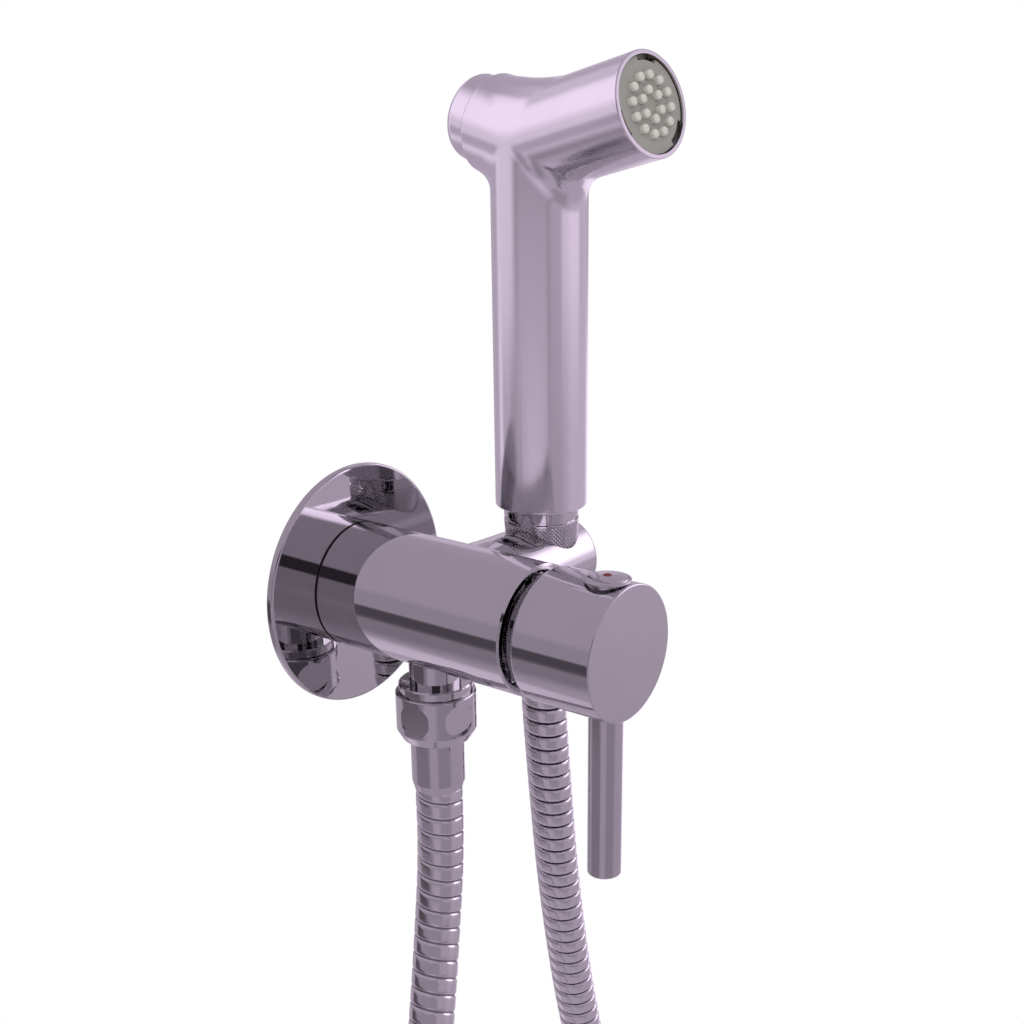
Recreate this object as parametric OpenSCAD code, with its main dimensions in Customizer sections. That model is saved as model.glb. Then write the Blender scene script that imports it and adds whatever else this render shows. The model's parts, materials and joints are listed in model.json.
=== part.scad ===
// Single-lever wall mixer with a hand spray, for use as a bidet. The mixer body stands on a round
// rosette, an arm on its side holds the spray, and a ribbed hose hangs in a loop between the two.
// Millimetres. +Z is up, the finished wall is the plane y = 0 and the room is on the -Y side. The
// origin is the centre of the rosette's back face. "Out" is a distance from the wall.

/* [Rosette] */
// Diameter of the rosette
rosette_d = 70; // [60:1:90]
// Thickness of the rosette's rim
rosette_rim_t = 1.3; // [1.2:0.1:2]
// Thickness of the rosette where the body stands on it
rosette_t = 3; // [2.6:0.1:5]

/* [Mixer body] */
// Diameter of the mixer body
body_d = 36.5; // [36:0.5:42]
// Distance from the wall to the front edge of the body
body_end = 67.7; // [66:0.1:76]
// Diameter of the mouth at the front of the body
mouth_d = 32.8; // [32.4:0.1:33.6]
// Diameter of the stub that the hose outlet ends in
outlet_d = 14.9; // [14:0.1:16]
// Distance from the wall to the hose outlet
outlet_out = 30; // [28:0.5:31]

/* [Knob and lever] */
// Diameter of the knob
knob_d = 37; // [36:0.5:42]
// Gap between the body and the knob
knob_gap = 1.2; // [1:0.1:2]
// Length of the knob
knob_len = 27.6; // [27:0.1:34]
// Width of the taper at the back of the knob
knob_taper = 3.7; // [3:0.1:4.5]
// Diameter of the lever pin
lever_d = 9.4; // [8:0.1:10]
// Distance from the knob's axis to the tip of the lever pin
lever_reach = 66; // [40:1:90]
// How far the knob tips up to open, in degrees
lift_angle = 13; // [5:1:13]

/* [Holder arm] */
// Diameter of the arm
arm_d = 27; // [26.5:0.5:29]
// Distance from the wall to the arm's axis
arm_out = 34; // [33:0.5:36]
// Distance from the mixer's axis to the handset's axis
handset_x = 45.4; // [40:0.1:60]
// Length of the arm beyond the handset's axis
arm_tip = 12.2; // [12.1:0.1:16]

/* [Handset] */
// Diameter of the handset's handle
handle_d = 27.1; // [26.6:0.1:29]
// Height of the handle's bottom edge above the arm's axis
handle_bottom = 18.9; // [17:0.1:24]
// Height of the crossing of the three tubes above the handle's bottom edge
yoke_height = 102; // [80:1:130]
// Distance from the crossing to the spray face
head_reach = 40.7; // [36:0.1:50]
// Upward tilt of the spray head, in degrees
head_tilt = 14.5; // [5:0.5:25]
// Distance from the crossing to the end of the button housing
rear_reach = 17.4; // [17:0.1:22]
// Upward tilt of the button housing, in degrees
rear_tilt = 13; // [5:0.5:20]
// Turn of the handset in its holder, in degrees
handset_yaw = -6.4; // [-30:0.1:30]
// How far the trigger button stands out of its housing
button_stands = 8.3; // [7:0.1:10]
// Travel of the trigger button
button_travel = 3; // [1.5:0.5:3]
// Number of nozzles in the outer ring of the spray face
outer_nozzles = 12; // [6:1:12]
// Number of nozzles in the inner ring
inner_nozzles = 6; // [3:1:7]

/* [Hose and nuts] */
// Outer diameter of the ribbed hose
hose_d = 14; // [12:0.5:14]
// Bore of the hose
hose_bore_d = 8; // [6:0.5:9]
// Distance from rib to rib
rib_pitch = 5.3; // [5.3:0.1:8]
// Diameter of the nut at the outlet
hose_nut_d = 23.2; // [22.8:0.1:25]
// Height of the nut at the outlet
hose_nut_h = 14.5; // [13:0.5:18]
// Diameter of the knurled nut under the handle
knurled_nut_d = 22.2; // [22:0.1:22.4]

/* [Hidden] */
$fn = 96;

// Extra length of a cut past the face that it opens, and the room between a fixed piece and its seat
cut = 1;
seat_fit = 0.05;
// Radial room of a running fit, and room round pieces that move past each other
run_fit = 0.05;
free_fit = 0.3;
// Half the spread of a pipe thread's flanks: both threads are drawn at their mean radius
pipe_thread_r = 9.5;

// In-wall connection
socket_r = 9.5;
socket_depth = 15;
manifold_half = 34;
manifold_r = 15;
manifold_in = 28;
port_x = 6;
port_z = 2;
port_r = 3.2;
neck_r = 13;
inlet_seal_t = 1.5;
neck_end_out = 13.5;
oring_t = 1.9;

// Mixer body
body_r = body_d / 2;
spigot_r = 15;
spigot_in = 2;
bevel = 0.5;
cartridge_depth = 21.7;
cartridge_seat = body_end - cartridge_depth;
cavity_r = 12.75;
nut_thread_r = 14.6;
nut_t = 4;
outlet_port_z = -6.5;
set_screw_r = 2.05;
set_screw_out = 9;

// Cartridge, as a stack from its floor outwards
cartridge_r = 12.5;
seal_t = 1.3;
seal_gap = 0.5;
floor_t = 2.5;
disc_t = 3;
carrier_t = 2.4;
flange_t = 1.3;
shoulder_t = 1;
stack_play = 0.1;
chamber_r = 10.95;
cartridge_neck_r = 10;
turret_r = 8.2;
turret_end_gap = 0.8;
cartridge_back = cartridge_seat + seal_gap;
fixed_disc_out = cartridge_back + floor_t;
moving_disc_out = fixed_disc_out + disc_t;
carrier_out = moving_disc_out + disc_t;
flange_out = carrier_out + carrier_t + stack_play;
shoulder_out = flange_out + flange_t + stack_play;
cartridge_top = shoulder_out + shoulder_t;
neck_top = body_end + 13.1;
pivot_out = body_end + 10.3;
pin_r = 1.5;
moving_disc_r = 8.2;
drum_r = 2.4;
drum_out = carrier_out + 2.8;
stem_w = 6.8;
tongue_h = 4.6;
disc_travel = (pivot_out - drum_out) * sin(lift_angle);

// Knob
knob_r = knob_d / 2;
knob_back = body_end + knob_gap;
knob_front = knob_back + knob_len;
knob_wall = 1.6;
knob_front_t = 3;
knob_back_r = knob_r - 2.2;
knob_back_wall = 1.3;
dome_r = 16.2;
lever_r = lever_d / 2;
lever_out = knob_front - 7.2;
hub_r = lever_r + 0.9;
plug_r = 5.5;
plug_seat = 17.5;
plug_stem_r = 4;
mark_r = 2;
grub_r = 2.5;

// Arm, seat of the knurled nut and liner
arm_r = arm_d / 2;
arm_root = body_r + 1.25;
arm_spigot_r = 8;
arm_spigot_len = 6.5;
nut_r = knurled_nut_d / 2;
nut_bottom = 0;
seat_taper = tan(5);
seat_room = 0.15;
bush_r = 10.6;
bush_top = -1.1;
bush_len = 7.9;
passage_r = 8.3;

// Joints of the hose, shared by both ends
ferrule_r = 7.8;
ferrule_neck_r = 7.2;
ferrule_bore_r = 4.5;
ferrule_flange_t = 2;
ferrule_len = 13.8;
ferrule_taper = 2.4;
washer_t = 2;
washer_hole_r = 5.2;
web_t = 3.6;
collar_top = -23.5;
collar_bottom = -26;
collar_r = 10.6;
hose_nut_top = collar_bottom - 0.1;
hose_nut_bottom = hose_nut_top - hose_nut_h;
nipple_bottom = hose_nut_bottom + web_t + ferrule_flange_t + washer_t;
collar_play = 0.1;
ferrule_end = collar_play + ferrule_len + ferrule_taper;
hose_start = hose_nut_bottom - ferrule_end;
hose_finish = nut_bottom - ferrule_end;
connector_bottom = nut_bottom + web_t + ferrule_flange_t + washer_t;

// Handset
handle_r = handle_d / 2;
yoke_z = handle_bottom + yoke_height;
head_axis = [0, -cos(head_tilt), sin(head_tilt)];
rear_axis = [0, cos(rear_tilt), sin(rear_tilt)];
handle_axis = [0, 0, -1];
handle_bore_r = 11.05;
handle_bore_top = yoke_height - 21;
tube_r = 6.5;
tube_wall = 1.3;
tube_seat = 4;
connector_len = 15;
head_bore_r = 10.6;
face_r = 12.35;
face_depth = 6.7;
button_r = 11.8;
button_round = 2.8;
button_well = 6.2;
valve_r = 9;
valve_front = -6;
gland_t = 2;
stem_r = 2;
seal_r = 4.2;
seal_disc_t = 1.6;

// Fillets of the yoke: between the head and the button housing, and of both with the handle
top_blend = 1.6;
side_blend = 8;

// Route of the hose from the outlet's ferrule, down round the loop and up through the arm
route = [[0, -outlet_out, hose_start], [0, -outlet_out, -64], [0, -outlet_out, -72], [-0.8, -30, -86],
    [-3.5, -30.7, -101.5], [-8.5, -33, -118], [-15, -36, -137], [-22, -39, -160], [-29, -41.5, -188],
    [-35, -43.5, -220], [-40, -45, -254], [-44.3, -45.5, -290], [-47.4, -46, -326],
    [-49, -46, -358], [-49.5, -45.8, -385], [-48.4, -45.4, -410], [-39.9, -45, -433.4],
    [-24, -44.6, -452.4], [-2.5, -44.3, -464.8], [22, -44, -469], [46.5, -43.7, -464.8],
    [68, -43.2, -452.4], [83.9, -42.6, -433.4], [92.4, -41.6, -410], [93.6, -40.3, -385],
    [93, -39, -358], [91, -37.6, -326], [88, -36.4, -292], [84, -35.4, -259], [78.7, -34.2, -227],
    [72, -33.2, -194], [65.2, -32.5, -164], [59.2, -32.7, -136], [54, -33.2, -108],
    [50.2, -33.7, -82], [47.5, -34, -60], [46, -34, -44], [handset_x, -arm_out, -32],
    [handset_x, -arm_out, -24], [handset_x, -arm_out, hose_finish]];
route_steps = 12;
hose_sides = 8;
rib_depth = 0.9;
bore_every = 4;

// Turns a shape so that its +Z points out of the wall and its +Y points up
module outward() rotate([90, 0, 0]) children();

// A ring between two heights; without a bore it is a disc
module ring(r, bore, from, to) difference() {
    translate([0, 0, from]) cylinder(r = r, h = to - from);
    if (bore > 0) translate([0, 0, from - cut]) cylinder(r = bore, h = to - from + 2 * cut);
}

// A hole along +Z
module hole(r, from, to) translate([0, 0, from]) cylinder(r = r, h = to - from);

// A block centred on the Z axis
module block(x, y, from, to) translate([-x / 2, -y / 2, from]) cube([x, y, to - from]);

// A round seal of circular section
module torus(mid_r, wire_r, at) {
    translate([0, 0, at]) rotate_extrude() translate([mid_r, 0]) circle(r = wire_r, $fn = 32);
}

// A cylinder along +X in the "outward" frame
module hole_x(r, from, to) rotate([0, 90, 0]) hole(r, from, to);

// A cylinder along the up direction in the "outward" frame
module hole_up(r, from, to) rotate([-90, 0, 0]) hole(r, from, to);

// In-wall connection: a brass bar with a pipe socket at each end, a neck that reaches through the
// rosette and a plate that is screwed to the wall behind
plate_h = 68;
plate_w = 24;
plate_t = 4;
plate_hole_r = 2.75;
plate_hole_z = 26;
hex_r = 15.6;
hex_len = 12;
module wall_manifold() color("goldenrod") outward() difference() {
    union() {
        translate([0, 0, -manifold_in])
            hole_x(manifold_r, -manifold_half + hex_len, manifold_half - hex_len);
        for (side = [-1, 1]) translate([side * (manifold_half - hex_len / 2), 0, -manifold_in])
            rotate([0, 90, 0]) cylinder(r = hex_r, h = hex_len, center = true, $fn = 6);
        hole(neck_r, -manifold_in, neck_end_out);
        block(plate_w, plate_h, -manifold_in - manifold_r, -manifold_in - manifold_r + plate_t);
    }
    for (side = [-1, 1]) {
        translate([side * port_x, port_z, -manifold_in]) hole(port_r, 0, manifold_in + neck_end_out + cut);
        translate([0, 0, -manifold_in]) mirror([side < 0 ? 1 : 0, 0, 0]) {
            hole_x(socket_r, manifold_half - socket_depth, manifold_half + cut);
            translate([0, port_z, 0]) hole_x(port_r + 1.3, port_r, manifold_half - socket_depth + cut);
        }
        translate([0, side * plate_hole_z, 0])
            hole(plate_hole_r, -manifold_in - manifold_r - cut, -manifold_in - manifold_r + plate_t + cut);
    }
    neck_groove();
}

// Groove round the neck for its O-ring
groove_out = 8;
groove_depth = 1.9;
module neck_groove() ring(neck_r + cut, neck_r - groove_depth, groove_out, groove_out + oring_t + 0.5);

module neck_oring() color("dimgray") outward()
    torus(neck_r - groove_depth + oring_t / 2 + seat_fit, oring_t / 2, groove_out + oring_t / 2 + 0.25);

// Rubber pad with two holes that seals the neck's end against the body
module inlet_seal() color("dimgray") outward() difference() {
    hole(neck_r - 0.5, neck_end_out, neck_end_out + inlet_seal_t);
    for (side = [-1, 1]) translate([side * port_x, port_z, 0])
        hole(port_r, neck_end_out - cut, neck_end_out + inlet_seal_t + cut);
}

// Foam ring in the rosette's back
gasket_r = 32;
gasket_w = 5;
gasket_t = 0.8;
module wall_gasket() color("darkgray") outward()
    ring(gasket_r - seat_fit, gasket_r - gasket_w + seat_fit, 0, gasket_t - seat_fit);

// Rosette: a spun disc, slightly domed, that covers the hole in the wall
dome_bow_r = (pow(rosette_d / 2, 2) - pow(body_r, 2)) / (2 * (rosette_t - rosette_rim_t));
function bow(r) = rosette_rim_t + (pow(rosette_d / 2, 2) - r * r) / (2 * dome_bow_r);
rosette_edge = 0.35;
bow_steps = 12;
module rosette() color("silver") outward() difference() {
    rotate_extrude($fn = 128) polygon(concat([[spigot_r + seat_fit, 0], [rosette_d / 2, 0],
        [rosette_d / 2, rosette_rim_t - rosette_edge]],
        [for (i = [0 : bow_steps]) let (r = rosette_d / 2 - rosette_edge
            - (rosette_d / 2 - rosette_edge - body_r) * i / bow_steps) [r, bow(r)]],
        [[spigot_r + seat_fit, rosette_t]]));
    ring(gasket_r, gasket_r - gasket_w, -cut, gasket_t);
}

// Mixer body: turned brass with the water ways bored into it
mouth_floor = cartridge_top + nut_t;
module mixer_body() color("silver") outward() difference() {
    union() {
        rotate_extrude() polygon([[0, rosette_t - spigot_in], [spigot_r, rosette_t - spigot_in],
            [spigot_r, rosette_t], [body_r, rosette_t], [body_r, body_end - bevel],
            [body_r - bevel, body_end], [0, body_end]]);
        translate([0, 0, arm_out]) hole_x(arm_r, 0, arm_root);
    }
    hole(neck_r + seat_fit * 2, -cut, neck_end_out + inlet_seal_t);
    for (side = [-1, 1]) translate([side * port_x, port_z, 0])
        hole(port_r, neck_end_out, cartridge_seat + cut);
    translate([0, outlet_port_z, 0]) hole(port_r, outlet_out - port_r, cartridge_seat + cut);
    translate([0, 0, outlet_out]) mirror([0, 1, 0]) {
        hole_up(port_r + 1, -outlet_port_z - 1, nipple_root + cut);
        hole_up(outlet_d / 2 + seat_fit, nipple_root, body_r + cut);
    }
    hole(cavity_r, cartridge_seat, cartridge_top);
    hole(nut_thread_r + seat_fit, cartridge_top, mouth_floor + seat_fit);
    hole(mouth_d / 2, mouth_floor, body_end + cut);
    translate([0, 0, arm_out])
        hole_x(arm_spigot_r + seat_fit, arm_root - arm_spigot_len, arm_root + cut);
    translate([0, 0, set_screw_out]) mirror([0, 1, 0])
        hole_up(set_screw_r + seat_fit, neck_r, body_r + cut);
}

// Set screw under the body that holds it on the neck
hex_socket_r = 1.1;
module set_screw(r, len) difference() {
    cylinder(r = r, h = len);
    translate([0, 0, len - 2]) cylinder(r = hex_socket_r, h = 2 + cut, $fn = 6);
}
module body_set_screw() color("gray") outward() translate([0, 0, set_screw_out]) mirror([0, 1, 0])
    rotate([-90, 0, 0]) translate([0, 0, neck_r + 0.1]) set_screw(set_screw_r, body_r - neck_r - 0.8);

// Arm that holds the handset, with a tapered seat for the knurled nut and a way through for the hose
arm_edge = 0.6;
module holder_arm() color("silver") difference() {
    translate([0, -arm_out, 0]) rotate([0, 90, 0]) rotate_extrude() polygon([[0, arm_root - arm_spigot_len],
        [arm_spigot_r, arm_root - arm_spigot_len], [arm_spigot_r, arm_root], [arm_r, arm_root],
        [arm_r, handset_x + arm_tip - arm_edge], [arm_r - arm_edge, handset_x + arm_tip],
        [0, handset_x + arm_tip]]);
    translate([handset_x, -arm_out, 0]) {
        rotate_extrude() polygon([[0, bush_top - cut],
            [nut_cone_r(bush_top - cut) + seat_room, bush_top - cut],
            [nut_cone_r(arm_r + cut) + seat_room, arm_r + cut], [0, arm_r + cut]]);
        hole(bush_r + seat_fit, -arm_r - cut, bush_top);
    }
}

// Radius of the knurled nut: straight above the seat, tapered inside it
function nut_cone_r(z) = nut_r - max(0, arm_r - z) * seat_taper;

// Plastic liner under the seat that keeps the hose off the metal
bush_chamfer = 1;
module holder_bush() color("whitesmoke") translate([handset_x, -arm_out, bush_top]) mirror([0, 0, 1])
    rotate_extrude() polygon([[passage_r, bush_chamfer], [passage_r + bush_chamfer, 0], [bush_r, 0],
        [bush_r, bush_len], [passage_r + bush_chamfer, bush_len], [passage_r, bush_len - bush_chamfer]]);

// Outlet nipple, screwed into the body from below, with the pipe thread that the hose nut turns on
nipple_root = 12;
outlet_groove = -15.2;
outlet_oring_t = 1.4;
module outlet_nipple() color("silver") translate([0, -outlet_out, 0]) difference() {
    rotate_extrude() polygon([[port_r + 1, -nipple_root], [outlet_d / 2, -nipple_root],
        [outlet_d / 2, collar_top], [collar_r - 0.4, collar_top], [collar_r, collar_top - 0.4],
        [collar_r, collar_bottom], [pipe_thread_r - seat_fit, collar_bottom],
        [pipe_thread_r - seat_fit, nipple_bottom], [washer_hole_r, nipple_bottom],
        [washer_hole_r, collar_bottom], [port_r + 1, collar_top]]);
    ring(outlet_d, outlet_d / 2 - outlet_oring_t + 0.1, outlet_groove,
        outlet_groove + outlet_oring_t + 0.3);
}
module outlet_oring() color("dimgray") translate([0, -outlet_out, 0])
    torus(outlet_d / 2 - outlet_oring_t / 2 + 0.06, outlet_oring_t / 2 - seat_fit,
        outlet_groove + outlet_oring_t / 2 + 0.15);

// Nut at the outlet: a round nut with six spot-faced flats
flat_r = 5.6;
flat_plane = sqrt(pow(hose_nut_d / 2, 2) - pow(flat_r, 2)) + 0.1;
nut_chamfer = 1.6;
nut_chamfer_h = 2.9;
nut_top_edge = 0.5;
module hose_nut() color("silver") translate([0, -outlet_out, 0]) difference() {
    rotate_extrude() polygon([[ferrule_neck_r + 0.2, hose_nut_bottom],
        [hose_nut_d / 2 - nut_chamfer, hose_nut_bottom], [hose_nut_d / 2, hose_nut_bottom + nut_chamfer_h],
        [hose_nut_d / 2, hose_nut_top - nut_top_edge], [hose_nut_d / 2 - nut_top_edge, hose_nut_top],
        [pipe_thread_r, hose_nut_top], [pipe_thread_r, hose_nut_bottom + web_t],
        [ferrule_neck_r + 0.2, hose_nut_bottom + web_t]]);
    for (turn = [0 : 60 : 300]) rotate([0, 0, turn + 30]) translate([flat_plane, 0, hose_nut_top - 6.4])
        rotate([0, 90, 0]) cylinder(r = flat_r, h = hose_nut_d);
}

// Flat washer of a hose end, from its sealing face down
module washer(at) color("dimgray") ring(pipe_thread_r - 0.3, washer_hole_r, at - washer_t, at);
module hose_washer() translate([0, -outlet_out, 0]) washer(nipple_bottom);
module handset_washer() translate([handset_x, -arm_out, 0]) washer(connector_bottom);

// Ferrule crimped on the hose: a flange inside the nut, a neck through its web, a collar and a taper
module ferrule() color("silver") difference() {
    rotate_extrude() polygon([[0, web_t + ferrule_flange_t],
        [pipe_thread_r - 0.2, web_t + ferrule_flange_t],
        [pipe_thread_r - 0.2, web_t], [ferrule_neck_r, web_t], [ferrule_neck_r, -collar_play],
        [ferrule_r, -collar_play], [ferrule_r, ferrule_taper - ferrule_end],
        [hose_d / 2 + 0.15, -ferrule_end], [0, -ferrule_end]]);
    hole(ferrule_bore_r, -ferrule_end - cut, web_t + ferrule_flange_t + cut);
}
module lower_ferrule() translate([0, -outlet_out, hose_nut_bottom]) ferrule();
module upper_ferrule() translate([handset_x, -arm_out, nut_bottom]) ferrule();

// Hose: the route is rounded to one smooth curve and walked rib by rib
function between(a, b, c, d, t) = 0.5 * (2 * b + (c - a) * t + (2 * a - 5 * b + 4 * c - d) * t * t
    + (3 * b - a - 3 * c + d) * t * t * t);
route_last = len(route) - 1;
function route_at(i) = i < 0 ? 2 * route[0] - route[1]
    : i > route_last ? 2 * route[route_last] - route[route_last - 1] : route[i];
line = concat([for (i = [0 : route_last - 1]) for (k = [0 : route_steps - 1])
    between(route_at(i - 1), route_at(i), route_at(i + 1), route_at(i + 2), k / route_steps)],
    [route[route_last]]);
steps = [for (i = [1 : len(line) - 1]) norm(line[i] - line[i - 1])];
run = [for (i = 0, sum = 0; i < len(line); sum = sum + (i < len(steps) ? steps[i] : 0), i = i + 1) sum];
hose_len = run[len(run) - 1];
rib_count = 4 * round(hose_len / rib_pitch / 4);
function walk(s) = let (i = min(max([for (j = [0 : len(run) - 1]) if (run[j] <= s) j]), len(line) - 2))
    [line[i] + (line[i + 1] - line[i]) * (s - run[i]) / (run[i + 1] - run[i]), line[i + 1] - line[i]];
function hose_ring(s, r) = let (at = walk(s), along = at[1] / norm(at[1]),
    side = cross(along, [0, 1, 0]) / norm(cross(along, [0, 1, 0])), other = cross(side, along))
    [for (i = [0 : hose_sides - 1]) at[0] + r * (cos(360 * i / hose_sides) * side
        + sin(360 * i / hose_sides) * other)];
// Triangles between rings of points that follow each other, with the first ring at index "from"
function skin_faces(from, rings, sides, flip) = [for (k = [0 : rings - 2]) for (i = [0 : sides - 1])
    let (a = from + k * sides + i, b = from + k * sides + (i + 1) % sides, c = b + sides, d = a + sides)
    each flip ? [[a, b, c], [a, c, d]] : [[a, c, b], [a, d, c]]];
function end_faces(a, b, sides, flip) = [for (i = [0 : sides - 1]) let (j = (i + 1) % sides)
    each flip ? [[a + i, a + j, b + j], [a + i, b + j, b + i]]
        : [[a + i, b + j, a + j], [a + i, b + i, b + j]]];
module hose() {
    outer_rings = 2 * rib_count + 1;
    bore_rings = rib_count / bore_every + 1;
    points = concat(
        [for (k = [0 : outer_rings - 1]) each hose_ring(hose_len * k / (outer_rings - 1),
            hose_d / 2 - (k % 2) * rib_depth)],
        [for (k = [0 : bore_rings - 1])
            each hose_ring(hose_len * k / (bore_rings - 1), hose_bore_d / 2)]);
    bore_at = outer_rings * hose_sides;
    color("silver") polyhedron(points = points, convexity = 8, faces = concat(
        skin_faces(0, outer_rings, hose_sides, true),
        skin_faces(bore_at, bore_rings, hose_sides, false),
        end_faces(0, bore_at, hose_sides, false),
        end_faces(bore_at - hose_sides, bore_at + (bore_rings - 1) * hose_sides, hose_sides, true)));
}
echo("Hose between the ferrules, mm", hose_len, "and from flange to flange",
    hose_len + 2 * (ferrule_end + web_t + ferrule_flange_t), "ribs", rib_count);

// Cartridge housing: a cup with three ports in its floor and a neck that guides the turret
port_seal_r = 3.9;
housing_floor_ports = [[-port_x, port_z], [port_x, port_z], [0, outlet_port_z]];
module at_ports() for (p = housing_floor_ports) translate([p[0], p[1], 0]) children();
module cartridge_housing() color("whitesmoke") outward() difference() {
    rotate_extrude() polygon([[0, cartridge_back], [cartridge_r, cartridge_back],
        [cartridge_r, cartridge_top], [cartridge_neck_r, cartridge_top], [cartridge_neck_r, neck_top],
        [turret_r + run_fit, neck_top], [turret_r + run_fit, shoulder_out], [chamber_r, shoulder_out],
        [chamber_r, fixed_disc_out], [0, fixed_disc_out]]);
    at_ports() {
        hole(port_r - 0.6, cartridge_back - cut, fixed_disc_out + cut);
        hole(port_seal_r + seat_fit, cartridge_back - cut, cartridge_seat + seal_t);
    }
}
module cartridge_seals() color("dimgray") outward() at_ports()
    ring(port_seal_r, port_r - 0.6, cartridge_seat, cartridge_seat + seal_t);

// Ceramic discs: the fixed one has the three ports, the moving one a channel that joins them
module fixed_disc() color("white") outward() difference() {
    hole(chamber_r - seat_fit, fixed_disc_out, moving_disc_out);
    at_ports() hole(port_r - 0.6, fixed_disc_out - cut, moving_disc_out + cut);
}
channel_depth = 1.8;
channel_r = 5;
channel_drop = 1.5;
disc_offset = disc_travel / 2;
module moving_disc() color("white") outward() difference() {
    translate([0, disc_offset, 0]) hole(moving_disc_r, moving_disc_out, carrier_out);
    translate([0, disc_offset - channel_drop, 0])
        hole(channel_r, moving_disc_out - cut, moving_disc_out + channel_depth);
}

// Carrier on the moving disc, with the pocket that the stem's drum drives
pocket_r = drum_r + 0.1;
pocket_floor = 0.25;
module disc_carrier() color("darkgray") outward() difference() {
    translate([0, disc_offset, 0]) hole(moving_disc_r, carrier_out, carrier_out + carrier_t);
    block(stem_w + 0.2, 2 * pocket_r, carrier_out + pocket_floor, carrier_out + carrier_t + cut);
}

// Turret: turns in the housing's neck and carries the stem on the pivot pin
slot_room = 0.15;
shoulder_in = 4.7;
shoulder_floor = pivot_out - shoulder_in;
slot_x = stem_w + 2 * slot_room;
turret_top = neck_top - turret_end_gap;
module turret() color("gray") outward() difference() {
    union() {
        hole(chamber_r - run_fit * 2, flange_out, flange_out + flange_t);
        hole(turret_r, flange_out, turret_top);
    }
    rotate([90, 0, 90]) translate([0, 0, -slot_x / 2]) linear_extrude(slot_x) polygon([
        [tongue_h / 2 + slot_room, flange_out - cut], [tongue_h / 2 + slot_room, shoulder_floor],
        [stem_w / 2 + slot_room, shoulder_floor], [stem_w / 2 + slot_room, pivot_out],
        [stem_w / 2 + slot_room + (turret_top + cut - pivot_out) * tan(lift_angle), turret_top + cut],
        [-stem_w / 2 - slot_room, turret_top + cut], [-stem_w / 2 - slot_room, pivot_out],
        [-stem_w / 2 - slot_room - shoulder_in * tan(lift_angle), shoulder_floor],
        [-tongue_h / 2 - slot_room - shoulder_in * tan(lift_angle), shoulder_floor],
        [-drum_r - slot_room - (pivot_out - flange_out + cut) * tan(lift_angle), flange_out - cut]]);
    translate([0, 0, pivot_out]) hole_x(pin_r + 0.02, -turret_r - cut, turret_r + cut);
}
module pivot_pin() color("silver") outward() translate([0, 0, pivot_out])
    hole_x(pin_r, -turret_r + 0.3, turret_r - 0.3);

// Stem: a square bar that tips on the pivot pin; its drum slides the carrier, its top drives the knob
stem_end = knob_front - knob_front_t - 0.3;
module stem() color("gray") outward() difference() {
    union() {
        block(stem_w, stem_w, pivot_out - 3.6, stem_end);
        block(stem_w, tongue_h, drum_out, pivot_out);
        translate([0, 0, drum_out]) hole_x(drum_r, -stem_w / 2, stem_w / 2);
    }
    translate([0, 0, pivot_out]) hole_x(pin_r + run_fit, -stem_w, stem_w);
}

// Nut that clamps the cartridge in the body, with two slots for a spanner
nut_slot = 3;
module retaining_nut() color("silver") outward() difference() {
    ring(nut_thread_r, cartridge_neck_r + 0.1, cartridge_top, mouth_floor);
    block(nut_slot, 2 * nut_thread_r + cut, mouth_floor - 1.5, mouth_floor + cut);
}

// Domed cover over the nut, part of a sphere about the knob's pivot so that the knob clears it
cover_back = pivot_out - sqrt(pow(dome_r, 2) - pow(cartridge_neck_r + 0.6, 2));
cover_front = pivot_out - 4;
cover_steps = 14;
function cover_r(z) = sqrt(pow(dome_r, 2) - pow(pivot_out - z, 2));
module dome_cover() color("silver") outward() rotate_extrude() polygon(concat(
    [[cartridge_neck_r + 0.1, mouth_floor + seat_fit], [cartridge_neck_r + 2, mouth_floor + seat_fit],
        [cartridge_neck_r + 2, cover_z(0.12)]],
    [for (i = [0 : cover_steps]) let (z = cover_z(0.12 + 0.88 * i / cover_steps)) [cover_r(z), z]],
    [[cartridge_neck_r + 0.1, cover_front]]));
function cover_z(w) = cover_back + (cover_front - cover_back) * w;

// Knob: a hollow cap with a hub across it for the lever pin, the stem and the grub screw
socket_room = 0.05;
plug_hole_from = plug_seat - 4;
knob_edge = 0.3;
inner_r = knob_r - knob_wall;
module knob() color("silver") outward() difference() {
    union() {
        rotate_extrude() polygon([[knob_back_r - knob_back_wall, knob_back],
            [knob_back_r - knob_edge, knob_back], [knob_back_r, knob_back + knob_edge],
            [knob_r, knob_back + knob_taper], [knob_r, knob_front - knob_edge],
            [knob_r - knob_edge, knob_front], [0, knob_front], [0, knob_front - knob_front_t],
            [inner_r, knob_front - knob_front_t], [inner_r, knob_back + knob_taper]]);
        translate([0, 0, lever_out]) hole_up(hub_r, -inner_r - 0.5, inner_r + 0.5);
        translate([0, 0, lever_out]) cylinder(r = hub_r, h = knob_front - knob_front_t / 2 - lever_out);
    }
    block(stem_w + 2 * socket_room, stem_w + 2 * socket_room, lever_out - hub_r - cut,
        stem_end + 0.1);
    translate([0, 0, lever_out]) {
        mirror([0, 1, 0]) hole_up(lever_r + seat_fit, lever_root - 0.1, knob_r + cut);
        hole_up(grub_r + seat_fit, 0, knob_r);
        hole_up(plug_stem_r + seat_fit, plug_hole_from, knob_r + cut);
        hole_up(plug_r + seat_fit * 2, plug_seat, knob_r + cut);
    }
}

// Lever pin, screwed into the knob's hub
lever_root = 9;
lever_tip_edge = 0.5;
module lever_pin() color("silver") translate([0, -lever_out, 0]) mirror([0, 0, 1]) rotate_extrude()
    polygon([[0, lever_root], [lever_r, lever_root], [lever_r, lever_reach - lever_tip_edge],
        [lever_r - lever_tip_edge, lever_reach], [0, lever_reach]]);

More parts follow.
